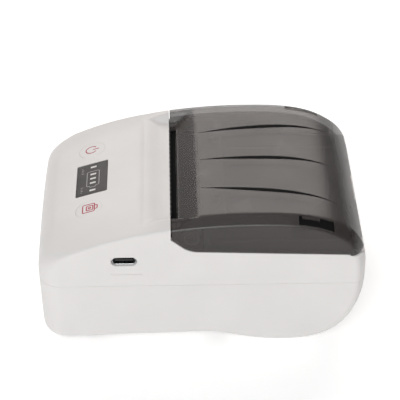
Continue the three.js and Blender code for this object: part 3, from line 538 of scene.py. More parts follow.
def lower_rows(form):
    """The lower case's rows from the seam down the face, along the base and round the bottom to the seam."""
    sine = ((BULGE_Z - LOWER_SEAM_Z) / BULGE_RADIUS) ** (BULGE_POWER / 2)
    last = 1 - math.degrees(math.asin(sine)) / (90 + BULGE_JOIN)
    face = lambda x, t: mix_point((form.front_y(x), LOWER_SEAM_Z), form.foot(x, 0), t)
    rows = [lambda x: (form.front_y(x), LOWER_SEAM_Z)]
    for stretch, count in ((face, 10), (form.foot, 8), (form.base, 34), (form.tail, 14)):
        rows += [lambda x, t=t, stretch=stretch: stretch(x, t) for t in spread(0, 1, count)]
    rows += [lambda x, t=t: form.bulge(x, t) for t in spread(0, last, 46)[:-1]]
    return rows + [lambda x: (form.bulge(x, last)[0], LOWER_SEAM_Z)]


def make_lower_case():
    shell = Shell()
    skins = []
    for form, _, xs in skin_pairs(sorted({round(x, 4) for x in stations()})):
        profile = lower_rows(form)
        side = [row(xs[-1]) for row in profile]
        start, end, lengths = side[0][0], side[-1][0], length_shares(side)
        foot = lambda k, point: (mix(start, end, lengths[k]), LOWER_SEAM_Z)
        skins.append(full_rows(profile, foot, xs, spread(0, 1, 8)))
    shell.grid(*skins)
    return shell.build("lower_case_shell", CASE_RIM)


def barrel_exit(x):
    """The angle on the rear quarter where the cover's skin meets the barrel round the hinge pin."""
    inside = lambda a: math.dist(OUTER.rear(x, a), (barrel_y(x), PIN_Z)) < barrel_radius(x) - 0.001
    if not any(inside(a * 0.5) for a in range(4, 80)):
        near = min(range(40, 800), key=lambda a: abs(OUTER.rear(x, a * 0.05)[1] - PIN_Z))
        return near * 0.05
    angle = 2.0
    while not inside(angle):
        angle += 0.1
    return angle


REAR_COUNT, BEAD_COUNT = 44, 9  # rows down the cover's rear quarter and round its rolled edge


def make_cover():
    """The smoke cover: the roof and its facet, the rear quarter and the rolled edge round the pin."""
    shell = Shell()
    columns = sorted({*stations(FACET_FINE_X), -SLOT_HALF, SLOT_HALF})
    front_y = [SPLIT_Y, -10.5, -10.1, -9.7, -9.3, -8.9, -8.6, FACET_START[0]]
    front_y += spread(FACET_START[0], 1.6, 30)
    middle_y = spread(1.6, APEX_Y - 1.5, 12)
    exits = {}

    def capped(form, grow, y):
        def row(x):
            z = form.roof_z(x, y)
            if y > 3:
                return y, z
            dip = cover_valley(max(0, abs(x) - INNER_SIDE * grow), y - INNER_SMOKE * grow) - grow
            return y, soft_min(z, dip, FACET_SOFT)

        return row

    def outer_rear(x, k):
        if x not in exits:
            exits[x] = barrel_exit(x)
        if k <= REAR_COUNT:
            return OUTER.rear(x, mix(90, exits[x], (k / REAR_COUNT) ** 1.25))
        y, z = OUTER.rear(x, exits[x])
        start = math.atan2(z - PIN_Z, y - barrel_y(x))
        angle = mix(min(start, 0.0), -math.pi, (k - REAR_COUNT) / BEAD_COUNT)
        radius = barrel_radius(x)
        return barrel_y(x) + radius * math.cos(angle), PIN_Z + radius * math.sin(angle)

    def inner_rear(x, k):
        end = bisect(5.0, 60.0, lambda angle: INNER.rear(x, angle)[1] < PIN_Z + WALL)
        return INNER.rear(x, mix(90, end, (k / (REAR_COUNT + BEAD_COUNT)) ** 1.15))

    def foot(k, point):
        y = min(point[0], last)
        if k >= bead_from and point[0] > last - 0.5:
            y = last
        return y, lower_edge(y)

    last = barrel_y(HALF_WIDTH) - BARREL_END
    bead_from = len(front_y + middle_y) + REAR_COUNT - 5  # from this row on, the side wall ends at last
    skins = []
    for (form, grow, xs), rear in zip(skin_pairs(columns), (outer_rear, inner_rear)):
        rows = [capped(form, grow, y) for y in front_y + middle_y]
        rows += [lambda x, k=k, rear=rear: rear(x, k) for k in range(REAR_COUNT + BEAD_COUNT + 1)]
        skins.append(full_rows(rows, foot, xs, spread(0, 1, 7)))

    def in_slot(a, b):
        middle_x, middle_y = (a[0] + b[0]) / 2, (a[1] + b[1]) / 2
        return abs(middle_x) < SLOT_HALF and middle_y < FACET_START[0]

    shell.grid(*skins, hidden=in_slot)
    return shell.build("roll_cover_shell", COVER_RIM)


# ---- materials
class Finish:
    """A Principled material, with noise in the object's own space for its colour, roughness and relief."""

    def __init__(self, name, colour, roughness=0.5, **constants):
        self.name = name
        self.material = bpy.data.materials.new(name)
        self.material.use_nodes = True
        self.tree = self.material.node_tree
        self.shader = self.tree.nodes["Principled BSDF"]
        self.colour = colour
        self.normal = None
        self.set("Base Color", (*colour, 1))
        self.set("Roughness", roughness)
        for socket, value in constants.items():
            self.set(socket.replace("_", " "), value)
        self.place = self.add("ShaderNodeTexCoord").outputs["Object"]

    def set(self, socket, value):
        self.shader.inputs[socket].default_value = value

    def add(self, kind, inputs=None, **settings):
        node = self.tree.nodes.new(kind)
        for setting, value in settings.items():
            setattr(node, setting, value)
        for socket, value in (inputs or {}).items():
            if isinstance(value, bpy.types.NodeSocket):
                self.tree.links.new(value, node.inputs[socket])
            else:
                node.inputs[socket].default_value = value
        return node

    def noise(self, size, stretch=(1, 1, 1), detail=3):
        """Noise with features of this size in millimetres, longer along an axis with a small stretch."""
        mapping = self.add("ShaderNodeMapping", {"Vector": self.place, "Scale": stretch})
        inputs = {"Vector": mapping.outputs[0], "Scale": 1 / (size * MM), "Detail": detail}
        return self.add("ShaderNodeTexNoise", inputs).outputs["Fac"]

    def bands(self, direction, scale, distortion, from_low, from_high):
        """Parallel stripes across an axis, sharpened between two levels."""
        inputs = {"Vector": self.place, "Scale": scale, "Distortion": distortion, "Detail": 0.0}
        wave = self.add("ShaderNodeTexWave", inputs, bands_direction=direction)
        return self.ramp(wave.outputs["Fac"], 0, 1, from_low, from_high)

    def ramp(self, value, low, high, from_low=0.3, from_high=0.7):
        inputs = {"Value": value, "From Min": from_low, "From Max": from_high, "To Min": low, "To Max": high}
        return self.add("ShaderNodeMapRange", inputs).outputs[0]

    def blend(self, value, first, second):
        node = self.add("ShaderNodeMix", data_type="RGBA")
        self.tree.links.new(value, node.inputs[0])
        for socket, colour in ((node.inputs[6], first), (node.inputs[7], second)):
            if isinstance(colour, bpy.types.NodeSocket):
                self.tree.links.new(colour, socket)
            else:
                socket.default_value = (*colour, 1)
        return node.outputs[2]

    def paint(self, output):
        self.tree.links.new(output, self.shader.inputs["Base Color"])
        return self

    def cloud(self, amount, size):
        """Slow colour variation, lighter and darker by a share of the colour."""
        light = tuple(min(1, c * (1 + amount)) for c in self.colour)
        dark = tuple(c * (1 - amount) for c in self.colour)
        return self.paint(self.blend(self.ramp(self.noise(size), 0, 1), dark, light))

    def mottle(self, low, high, size, stretch=(1, 1, 1)):
        rough = self.ramp(self.noise(size, stretch), low, high)
        self.tree.links.new(rough, self.shader.inputs["Roughness"])
        return self

    def relief(self, size, depth, stretch=(1, 1, 1), height=None):
        """Bump of a depth in millimetres over features of a size in millimetres."""
        height = height if height else self.noise(size, stretch)
        bump = self.add("ShaderNodeBump", {"Height": height, "Distance": depth * MM, "Strength": 1.0})
        if self.normal:
            self.tree.links.new(self.normal, bump.inputs["Normal"])
        self.normal = bump.outputs[0]
        self.tree.links.new(self.normal, self.shader.inputs["Normal"])
        return self


def moulded(name, colour, roughness, grain=0.006, **constants):
    """Injection-moulded plastic with a fine spark-eroded grain."""
    finish = Finish(name, colour, roughness, **constants)
    return finish.cloud(0.02, 18).mottle(roughness - 0.05, roughness + 0.06, 3).relief(0.35, grain)


def smoke_finish():
    """Glossy see-through plastic, a little uneven in tint and shine."""
    finish = Finish("smoke_cover", (0.05, 0.043, 0.041), 0.3, Alpha=0.66, Coat_Weight=0.1, Coat_Roughness=0.2)
    return finish.cloud(0.06, 30).mottle(0.27, 0.34, 12)


def rubber_finish():
    finish = Finish("rubber_black", (0.018, 0.018, 0.019), 0.8, Specular_IOR_Level=0.3)
    return finish.cloud(0.15, 2).mottle(0.72, 0.9, 1).relief(0.12, 0.01)


def lined_metal(name, colour, roughness, cloud, mottle, line, depth):
    """Drawn or milled metal: cloudy, mottled, and with fine lines along X."""
    finish = Finish(name, colour, roughness, Metallic=1.0)
    return finish.cloud(*cloud).mottle(*mottle).relief(line, depth, (0.05, 1, 1))


def acetal_finish():
    finish = Finish("gear_white", (0.72, 0.69, 0.6), 0.4, Subsurface_Weight=0.1, Subsurface_Scale=0.001)
    return finish.cloud(0.03, 5).mottle(0.33, 0.48, 1.5).relief(0.5, 0.002)


def board_finish():
    """Green solder mask over copper tracks that run along and across the board."""
    finish = Finish("circuit_board", (0.02, 0.11, 0.05), 0.35, Coat_Weight=0.3, Coat_Roughness=0.2)
    tracks = [finish.bands(direction, 260.0, 3.0, 0.78, 0.86) for direction in "XY"]
    area = finish.ramp(finish.noise(9, detail=0), 0, 1, 0.49, 0.51)
    both = finish.add("ShaderNodeMix", {0: area, 2: tracks[0], 3: tracks[1]}).outputs[0]
    finish.paint(finish.blend(both, (0.015, 0.085, 0.04), (0.035, 0.19, 0.08)))
    return finish.mottle(0.28, 0.42, 2).relief(1, 0.03, height=both)


def lens_finish():
    """Dark printed film."""
    finish = Finish("lens_dark", (0.06, 0.057, 0.056), 0.5, Specular_IOR_Level=0.25)
    return finish.cloud(0.04, 5).mottle(0.44, 0.56, 2).relief(0.25, 0.003)


def guide_finish():
    finish = Finish("light_guide", (0.8, 0.82, 0.83), 0.15, Alpha=0.5)
    return finish.cloud(0.02, 3).mottle(0.1, 0.22, 1.5).relief(0.6, 0.003)


def wrap_finish():
    finish = Finish("battery_wrap", (0.03, 0.1, 0.28), 0.3)
    return finish.cloud(0.08, 6).mottle(0.22, 0.42, 3).relief(4, 0.05, (1, 0.3, 1))


def lead_finish():
    finish = Finish("lead_red", (0.4, 0.02, 0.015), 0.45)
    return finish.cloud(0.1, 2).mottle(0.38, 0.55, 1).relief(0.3, 0.01)


def glaze_finish():
    """The head's dark glazed ceramic."""
    finish = Finish("head_glaze", (0.02, 0.016, 0.013), 0.3)
    return finish.cloud(0.12, 1.5).mottle(0.25, 0.4, 1).relief(0.4, 0.001)


def ribbon_finish():
    """Amber film over a row of copper tracks."""
    finish = Finish("ribbon", (0.45, 0.2, 0.03), 0.25, Coat_Weight=0.4, Coat_Roughness=0.1)
    tracks = finish.bands("X", 314.0, 0.0, 0.4, 0.6)
    finish.paint(finish.blend(tracks, (0.5, 0.22, 0.03), (0.3, 0.1, 0.015)))
    return finish.mottle(0.2, 0.32, 2).relief(1, 0.02, height=tracks)


def ink_finish(name, colour, roughness, uneven):
    finish = Finish(name, colour, roughness)
    return finish.cloud(uneven, 0.8).mottle(0.4, 0.55, 0.5).relief(0.2, 0.002)


SLOT_FINISHES = (
    moulded("case_white", (0.66, 0.645, 0.635), 0.42, 0.005, Specular_IOR_Level=0.42),
    moulded("dark_plastic", (0.02, 0.02, 0.021), 0.6, Specular_IOR_Level=0.2),
    moulded("black_plastic", (0.012, 0.012, 0.013), 0.5),
    smoke_finish(),
    rubber_finish(),
    lined_metal("steel", (0.56, 0.57, 0.58), 0.3, (0.05, 4), (0.22, 0.4, 0.4, (0.06, 1, 1)), 0.15, 0.002),
    lined_metal("aluminium", (0.6, 0.61, 0.62), 0.35, (0.04, 6), (0.28, 0.45, 0.3, (0.05, 1, 1)), 0.2, 0.003),
    acetal_finish(),
    board_finish(),
    lens_finish(),
    guide_finish(),
    wrap_finish(),
    lead_finish(),
    glaze_finish(),
    ribbon_finish(),
)
FINISHES = {finish.name: finish for finish in SLOT_FINISHES}
RED_INK = ink_finish("red_ink", (0.36, 0.012, 0.04), 0.5, 0.1)
PALE_PRINT = ink_finish("pale_print", (0.62, 0.61, 0.6), 0.45, 0.06)
FAINT_PRINT = ink_finish("faint_print", (0.3, 0.29, 0.29), 0.45, 0.06)
# matt black, used as painted shade in the grooves, catch windows and paper slot, and for the barrel cores
MATT_BLACK = moulded("matt_black", (0.008, 0.008, 0.008), 0.8, Specular_IOR_Level=0.05)


def dress(piece, finish):
    piece.data.materials.clear()
    piece.data.materials.append(finish.material)


def add_black(piece, body):
    """Finishes a piece in matt black; for the pieces in the grooves, in the catch windows and over the head
    this black is painted shade.
    """
    add(piece, body, "black_plastic", finish=MATT_BLACK)


def add(piece, body, slot, *nodes, finish=None):
    """Finishes a piece: its material, the body it rides on, and the CAD nodes it stands for."""
    dress(piece, finish if finish else FINISHES[slot])
    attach(piece, body)
    if nodes:
        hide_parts(*nodes)


def dress_cad_nodes():
    for part in frame["record"]["subparts"]:
        node = frame["nodes"][part["node"]]
        for place in node.material_slots:
            place.material = FINISHES[part["material_slot"]].material


# ---- solids
surface_z = OUTER.roof_z  # height of the case's outer skin in front of the split


def lathe(name, profile, centre, axis="Z", count=64):
    """A closed turned solid: profile lists (radius, distance along the axis), from axis to axis."""
    bm = bmesh.new()
    rings = []
    for radius, along_axis in profile:
        ring = []
        for k in range(1 if radius == 0 else count):
            angle = 2 * math.pi * k / count
            u, v = radius * math.cos(angle), radius * math.sin(angle)
            local = {"X": (along_axis, u, v), "Y": (v, along_axis, u), "Z": (u, v, along_axis)}[axis]
            ring.append(bm.verts.new([a + b for a, b in zip(centre, local)]))
        rings.append(ring)
    for a, b in zip(rings, rings[1:]):
        for k in range(count):
            n = (k + 1) % count
            corners = [a[k % len(a)], a[n % len(a)], b[n % len(b)], b[k % len(b)]]
            corners = [v for i, v in enumerate(corners) if v is not corners[i - 1]]
            bm.faces.new(corners)
    bmesh.ops.recalc_face_normals(bm, faces=bm.faces)
    return finish_mesh(name, bm)


def loft(name, rings, closed=False):
    """A closed solid through rings of points with the same count, capped unless it closes on itself."""
    bm = bmesh.new()
    made = [[bm.verts.new(p) for p in ring] for ring in rings]
    pairs = list(zip(made, made[1:])) + ([(made[-1], made[0])] if closed else [])
    for a, b in pairs:
        for k in range(len(a)):
            n = (k + 1) % len(a)
            bm.faces.new((a[k], a[n], b[n], b[k]))
    if not closed:
        bm.faces.new(made[0])
        bm.faces.new(list(reversed(made[-1])))
    bmesh.ops.recalc_face_normals(bm, faces=bm.faces)
    return finish_mesh(name, bm)


def rounded_outline(half_x, half_y, radius, steps=8):
    """A rounded rectangle round the origin as (x, y) points."""
    points = []
    for k, (sx, sy) in enumerate(((1, 1), (-1, 1), (-1, -1), (1, -1))):
        for step in range(steps + 1):
            angle = math.radians(90 * k + 90 * step / steps)
            x = sx * (half_x - radius) + radius * math.cos(angle)
            points.append((x, sy * (half_y - radius) + radius * math.sin(angle)))
    return points


def circle(radius, count=72):
    turns = [2 * math.pi * k / count for k in range(count)]
    return [(radius * math.cos(a), radius * math.sin(a)) for a in turns]


def block(name, low, high, radius=0.3, steps=3):
    """A box with its edges rounded."""
    bm = bmesh.new()
    bmesh.ops.create_cube(bm, size=1)
    for v in bm.verts:
        v.co = Vector(mix(a, b, c + 0.5) for a, b, c in zip(low, high, v.co))
    bmesh.ops.bevel(bm, geom=bm.edges, offset=radius, segments=steps, profile=0.5, affect="EDGES")
    return finish_mesh(name, bm)


def dome(name, outline, centre, profile, top):
    """A solid over an outline(inset), by a profile of (inset, depth under the surface top, fixed height)."""
    rings = []
    for inset, depth, fixed in profile:
        ring = []
        for x, y in outline(inset):
            px, py = centre[0] + x, centre[1] + y
            ring.append((px, py, fixed if fixed is not None else top(px, py) - depth))
        rings.append(ring)
    last = outline(profile[-1][0])
    for share in (0.8, 0.6, 0.4, 0.2, 0.04):
        ring = [(centre[0] + x * share, centre[1] + y * share) for x, y in last]
        rings.append([(x, y, top(x, y) - profile[-1][1]) for x, y in ring])
    return loft(name, rings)


def inlay(name, path, width, top, lift=0.03, depth=0.12, closed=False):
    """A printed line as a thin solid that follows the surface top along a path of (x, y) points."""
    rings = []
    count = len(path)
    for k, (x, y) in enumerate(path):
        before = path[k - 1] if closed or k else path[k]
        after = path[(k + 1) % count] if closed or k < count - 1 else path[k]
        run = Vector((after[0] - before[0], after[1] - before[1])).normalized()
        side = Vector((-run.y, run.x)) * width / 2
        left, right = (x + side.x, y + side.y), (x - side.x, y - side.y)
        ring = [(*left, top(*left) - depth), (*right, top(*right) - depth)]
        rings.append(ring + [(*right, top(*right) + lift), (*left, top(*left) + lift)])
    return loft(name, rings, closed)


def join(name, pieces):
    """One object from several, keeping the first one's place."""
    bm = bmesh.new()
    for piece in pieces:
        bm.from_mesh(piece.data)
        mesh = piece.data
        bpy.data.objects.remove(piece)
        bpy.data.meshes.remove(mesh)
    return linked(name, bm)


def slab(name, outline, low, high, axis="Z"):
    """A prism over an outline: (x, y) points along Z, (y, z) along X or (x, z) along Y."""
    bm = bmesh.new()
    lay = {"X": lambda u, v: (low, u, v), "Y": lambda u, v: (u, low, v), "Z": lambda u, v: (u, v, low)}[axis]
    face = bm.faces.new([bm.verts.new(lay(*p)) for p in outline])
    grown = bmesh.ops.extrude_face_region(bm, geom=[face])["geom"]
    shift = Vector(high - low if axis == a else 0 for a in "XYZ")
    bmesh.ops.translate(bm, vec=shift, verts=[v for v in grown if isinstance(v, bmesh.types.BMVert)])
    bmesh.ops.recalc_face_normals(bm, faces=bm.faces)
    return finish_mesh(name, bm)


def shifted(outline, x, y):
    return [(x + u, y + v) for u, v in outline]


# ---- keys, icons and the indicator panel
KEY_X, KEY_Y, KEY_RADIUS, KEY_GAP = 19.2, -41.0, 5.0, 0.03
FLANGE, FLANGE_HEIGHT = 0.9, 0.7  # the rim that holds a key in from below
PANEL_LOW, PANEL_HIGH = node_box("indicator_lens")
PANEL_CENTRE = node_centre("indicator_lens")[:2]
PANEL_HALF = tuple((b - a) / 2 for a, b in zip(PANEL_LOW[:2], PANEL_HIGH[:2]))
PANEL_SEAT = 0.08
PRINT_WIDTH = 0.42


def arc(centre, radius, start, end, count=40):
    angles = [math.radians(mix(start, end, k / count)) for k in range(count + 1)]
    return [(centre[0] + radius * math.sin(a), centre[1] + radius * math.cos(a)) for a in angles]


def bar(start, end, count=4):
    return [mix_point(start, end, k / count) for k in range(count + 1)]


def make_key(name, x):
    """A round key flush with the roof, over the CAD key's flange and switch."""
    foot_z = node_box(name)[0][2]
    flange_top = foot_z + FLANGE_HEIGHT
    profile = [(-FLANGE, 0, foot_z), (-FLANGE, 0, flange_top), (0, 0, flange_top)]
    profile += [(0, 0.1, None), (0.01, 0.03, None), (0.05, 0.0, None)]
    key = dome(name + "_cap", lambda inset: circle(KEY_RADIUS - inset), (x, KEY_Y), profile, surface_z)
    add(key, name.replace("button", "key"), "case_white", name)


def make_power_icon():
    centre = (-KEY_X - 0.3, KEY_Y - 0.2)
    paths = arc(centre, 2.15, 38, 322), bar(*shifted([(0, 0.5), (0, 2.9)], *centre))
    lines = [inlay("power_line", path, PRINT_WIDTH, surface_z) for path in paths]
    add(join("power_icon", lines), "power_key", "case_white", finish=RED_INK)


def make_feed_icon():
    """Nested frames with a nub, each drawn by (half width, lowest and highest Y, corner radius)."""
    centre = (KEY_X - 0.5, KEY_Y + 0.2)
    lines = []
    frames = (2.35, -2.5, 1.9, 0.5), (1.35, -1.1, 1.3, 0.4), (0.45, -0.3, 0.5, 0.2), (1.1, 1.9, 2.9, 0.4)
    for half_x, low_y, high_y, radius in frames:
        outline = rounded_outline(half_x, (high_y - low_y) / 2, radius, 4)
        path = shifted(outline, centre[0], centre[1] + (low_y + high_y) / 2)
        lines.append(inlay("feed_line", path, PRINT_WIDTH, surface_z, closed=True))
    add(join("feed_icon", lines), "feed_key", "case_white", finish=RED_INK)


def make_panel():
    """A dark film in a shallow seat, with a battery outline, charge bars and a light on either side."""
    outline = lambda inset: rounded_outline(PANEL_HALF[0] - inset, PANEL_HALF[1] - inset, 0.5, 4)
    profile = [(0, 0, PANEL_LOW[2])]
    profile += [(inset, PANEL_SEAT + under, None) for inset, under in ((0, 0.08), (0.03, 0.02), (0.1, 0))]
    panel = dome("indicator_panel", outline, PANEL_CENTRE, profile, surface_z)
    add(panel, "case", "lens_dark", "indicator_lens")
    film = lambda x, y: surface_z(x, y) - PANEL_SEAT
    x, y = PANEL_CENTRE
    battery = [(4.7, 1.2), (4.7, 1.9), (4.3, 2.3), (-4.3, 2.3), (-4.7, 1.9), (-4.7, -1.9), (-4.3, -2.3)]
    battery += [(4.3, -2.3), (4.7, -1.9), (4.7, -1.2), (5.5, -1.0), (5.5, 1.0)]
    battery = shifted(battery, x, y + 0.4)
    faint = [inlay("battery_outline", battery, 0.3, film, closed=True)]
    bars = [bar((x + step, y - 0.7), (x + step, y + 1.5)) for step in (-7.5, -2.8, 0, 2.8, 7.5)]
    bars = [inlay("light_bar", path, 0.95, film) for path in bars]
    add(join("indicator_marks", bars), "case", "lens_dark", finish=PALE_PRINT)
    for side in (-1, 1):
        for step in range(4):
            at = x + side * (4.6 + 1.0 * step)
            length = 0.5 if step % 2 else 0.9
            faint.append(inlay("tick", bar((at, y - 4.1), (at, y - 4.1 + length)), 0.28, film))
    add(join("indicator_lines", faint), "case", "lens_dark", finish=FAINT_PRINT)


# ---- the case
PORT_Y, PORT_Z = node_centre("usb_shell")[1:]
PORT_HALF, PORT_HEIGHT = 4.65, 1.85
PORT_PLATE = ((-32.9, 33.2), (-21.4, 43.6))


def port_ring(x, half_y, half_z):
    """The connector's outline at x, with round ends."""
    return [(x, PORT_Y + y, PORT_Z + z) for y, z in rounded_outline(half_y, half_z, half_z - 0.01, 10)]


def make_upper():
    """The upper shell, with the panel's seat, the keys' holes and the port's opening cut out."""
    upper = make_upper_case()
    panel = shifted(rounded_outline(PANEL_HALF[0] + 0.12, PANEL_HALF[1] + 0.12, 0.6, 4), *PANEL_CENTRE)
    holes = [slab("cutter", panel, PANEL_LOW[2] - 0.35, TOP)]
    for side in (-1, 1):
        hole = shifted(circle(KEY_RADIUS + KEY_GAP), side * KEY_X, KEY_Y)
        holes.append(slab("cutter", hole, 40, TOP))
    (low_y, low_z), (high_y, high_z) = PORT_PLATE
    plate = rounded_outline((high_y - low_y) / 2, (high_z - low_z) / 2, 0.8, 6)
    plate = shifted(plate, (low_y + high_y) / 2, (low_z + high_z) / 2)
    holes.append(slab("cutter", plate, HALF_WIDTH - 0.14, HALF_WIDTH + 1, "X"))
    flare = [(36, 0), (39.4, 0), (39.7, 0.06), (39.86, 0.25), (41, 1.4)]
    holes.append(loft("cutter", [port_ring(x, PORT_HALF + grow, PORT_HEIGHT + grow) for x, grow in flare]))
    cut(upper, *holes)
    add(upper, "case", "case_white", "upper_case")


def base_z(x, y):
    """Height of the underside in front of the round bottom."""
    return OUTER.base(x, bisect(0.0, 1.0, lambda t: OUTER.base(x, t)[0] < y, 24))[1]


DOOR_HALF_X = node_box("battery_door")[1][0]
DOOR_FROM, DOOR_TO = -50.0, -16.0
DOOR_GAP, DOOR_DEPTH = 0.2, 1.9
RIB_PITCH, RIB_CIRCLE = 2.4, 7.4  # the finger grip's ribs, and the circle that they end on
DOOR_CENTRE = (0.0, (DOOR_FROM + DOOR_TO) / 2)
DOOR_HALF_Y = (DOOR_TO - DOOR_FROM) / 2
TAB_HALF_X, TAB_FRONT = 4.0, -56.3
CASE_SCREWS = [node for node in frame["nodes"] if node.startswith("case_screw")]
WELL_RADIUS, WELL_WALL, WELL_RISE = 2.7, 1.2, 3.4  # a well's tube rises this far over the screw's head


def door_outline(inset):
    """The door with its screw tab at the front, as (x, y) points round the door's middle."""
    x, y, radius = DOOR_HALF_X - inset, DOOR_HALF_Y - inset, 1.5
    body = rounded_outline(x, y, radius, 6)
    first = min(k for k, (u, v) in enumerate(body) if v <= -y + 1e-6 and u > -x + radius * 0.5)
    tab = TAB_HALF_X - inset
    tip = TAB_FRONT + inset - DOOR_CENTRE[1]
    corner = [(-tab, -y), (-tab, tip + 1), (-tab + 0.3, tip + 0.3), (-tab + 1, tip)]
    corner += [(tab - 1, tip), (tab - 0.3, tip + 0.3), (tab, tip + 1), (tab, -y)]
    return body[: first + 1] + corner + body[first + 1 :]


def make_lower():
    """The lower shell with the door's opening and the screws' entries cut out, and the tubes over these."""
    lower = make_lower_case()
    tools = [slab("cutter", shifted(door_outline(-DOOR_GAP), *DOOR_CENTRE), -1, 7)]
    for node in CASE_SCREWS:
        x, y, _ = node_centre(node)
        entry = [(WELL_RADIUS + 3, -2), (WELL_RADIUS, 5.5)]
        if y < 0:
            entry = [(WELL_RADIUS + 0.5, -2), (WELL_RADIUS + 0.5, 3.2), (WELL_RADIUS, 3.7)]
        tools.append(lathe("cutter", [(0, -2), *entry, (WELL_RADIUS, 9), (0, 9)], (x, y, 0)))
    cut(lower, *tools)
    add(lower, "case", "case_white", "lower_case")
    outer, inner = (circle(radius, 48) for radius in (WELL_RADIUS + WELL_WALL, WELL_RADIUS))
    for node in CASE_SCREWS:
        x, y, _ = node_centre(node)
        start, end = 4.2 if y < 0 else 5.6, node_box(node)[0][2] + WELL_RISE
        rings = [(outer, start), (outer, end), (inner, end), (inner, start)]
        well = loft("screw_well", [[(x + u, y + v, z) for u, v in ring] for ring, z in rings], closed=True)
        add(well, "case", "case_white")


def make_door():
    """The battery door, with a ribbed dish for a finger and a countersunk seat for its screw."""
    under = lambda x, y: base_z(x, y) + 0.05
    layer = lambda outline, up: [(x, y, under(x, y) + up) for x, y in shifted(outline, *DOOR_CENTRE)]
    profile = [(0.6, DOOR_DEPTH), (0.25, DOOR_DEPTH), (0, DOOR_DEPTH - 0.25)]
    profile += [(0, 0.25), (0.08, 0.08), (0.25, 0)]
    rings = [layer(door_outline(inset), up) for inset, up in profile]
    for share in (0.85, 0.7, 0.55, 0.4, 0.25, 0.1):
        rings.append(layer([(x * share, y * share) for x, y in door_outline(0.25)], 0))
    door = loft("battery_door_plate", rings)
    screw_x, screw_y, _ = node_centre("battery_door_screw")
    seat = [(0, -1), (3.4, -1), (2.3, 3.4), (2.3, 4.35), (0.95, 4.4), (0.95, 8), (0, 8)]
    tools = [lathe("cutter", seat, (screw_x, screw_y, 0))]
    dish = [(0, -1.6), (9.2, -1.6), (9.0, 0.15), (8.4, 0.5), (0, 0.62)]
    tools.append(lathe("cutter", dish, (0, DOOR_TO - 10, base_z(0, DOOR_TO - 4.5))))
    cut(door, *tools)
    add(door, "case", "case_white", "battery_door")
    for k in range(-2, 3):
        y = DOOR_TO - 10 + RIB_PITCH * k
        half = math.sqrt(RIB_CIRCLE**2 - (RIB_PITCH * k) ** 2)
        z = base_z(0, y)
        rib = block("grip_rib", (-half, y - 0.45, z + 0.12), (half, y + 0.45, z + 1.0), 0.3)
        add(rib, "case", "case_white")


NODES_OF = frame["record"]["behaviour"]["bodies"]
PITCH = 0.45  # the screw threads' pitch


def make_screw(node, head_height, head_down):
    """A pan-head screw with a cross recess, in its CAD node's place."""
    (low_x, _, low_z), (high_x, _, high_z) = node_box(node)
    x, y, _ = node_centre(node)
    radius, length = (high_x - low_x) / 2, high_z - low_z
    shank = max(0.75, radius * 0.42)
    profile = [(0, 0), (radius * 0.55, 0), (radius * 0.86, head_height * 0.18), (radius, head_height * 0.55)]
    profile += [(radius, head_height), (shank, head_height)]
    for k in range(int((length - head_height - 0.8) / PITCH)):
        z = head_height + 0.2 + PITCH * k
        profile += [(shank, z), (shank * 0.86, z + PITCH / 2)]
    profile += [(shank * 0.8, length - 0.5), (0, length)]
    screw = lathe(node + "_turned", profile, (0, 0, 0), count=40)
    slot_half, slot_width = radius * 0.55, radius * 0.14
    arms = [(slot_half, slot_width), (slot_width, slot_half)]
    tools = [block("cutter", (-u, -v, -1), (u, v, head_height * 0.6), 0.04, 1) for u, v in arms]
    cut(screw, *tools)
    turn = Matrix.Identity(4) if head_down else Matrix.Rotation(math.pi, 4, "X")
    at = Vector((x, y, low_z if head_down else high_z)) * MM
    screw.data.transform(Matrix.Translation(at) @ turn @ Matrix.Rotation(x + y, 4, "Z"))
    body = next(name for name, nodes in NODES_OF.items() if node in nodes)
    add(screw, body, "steel", node)


def make_screws():
    for node in frame["nodes"]:
        if node.startswith("case_screw") or node == "battery_door_screw":
            make_screw(node, 1.1 if node.startswith("battery") else 1.9, head_down=True)
        elif "_screw" in node:
            make_screw(node, 1.15, head_down=False)


def make_feet():
    for name in ("foot_left", "foot_right"):
        low, high = node_box(name)
        radius = (high[0] - low[0]) / 2
        x, y, _ = node_centre(name)
        shape = [(0, 0.25), (0.55, 0.2), (0.62, 0), (0.8, 0), (0.88, 0.25), (0.93, 1), (1, 2.9)]
        profile = [(radius * share, z) for share, z in shape] + [(radius, high[2]), (0, high[2])]
        add(lathe(name + "_pad", profile, (x, y, 0)), "case", "rubber_black", name)


def make_port():
    """The connector's folded shell with a rolled lip, and its tongue."""
    low, high = node_box("usb_shell")
    half_y, half_z = (high[1] - low[1]) / 2, (high[2] - low[2]) / 2
    thick, lip, mouth = 0.3, 0.1, high[0]
    places = [(low[0], 0), (mouth - lip, 0), (mouth, lip), (mouth, thick - lip), (mouth - lip, thick)]
    places += [(low[0] + 0.8, thick)]
    rings = [port_ring(x, half_y - inset, half_z - inset) for x, inset in places]
    add(loft("port_shell", rings), "case", "steel", "usb_shell")
    tongue = block("port_tongue", *node_box("usb_tongue"), 0.12)
    add(tongue, "case", "black_plastic", "usb_tongue")


# ---- the roll cover
GROOVE_START, GROOVE_END = 0.2, 49.5
GROOVE_WIDTH, GROOVE_DEPTH = 2.3, 0.55
GROOVE_SIDE, GROOVE_FAN, GROOVE_BEND = 18.0, 5.4, 0.85
NOTCH_Y, NOTCH_X = (34.6, 47.4), (35.3, 39.2)
NOTCH_DEPTH = 0.9
KNUCKLES = {"left": (-34, -31), "middle": (-8.2, 8.2), "right": (31, 34)}


def skin_z(x, y):
    """Height of the cover's outer skin at (x, y), behind the facet."""
    if y <= APEX_Y:
        return OUTER.roof_z(x, y)
    span = REAR - APEX_Y - OUTER.rear_inset(x)
    rise = OUTER.rear(x, 90)[1] - REAR_Z
    c = clamp((y - APEX_Y) / span) ** (REAR_POWER / 2)
    return REAR_Z + rise * math.sqrt(1 - c * c) ** (2 / REAR_POWER)


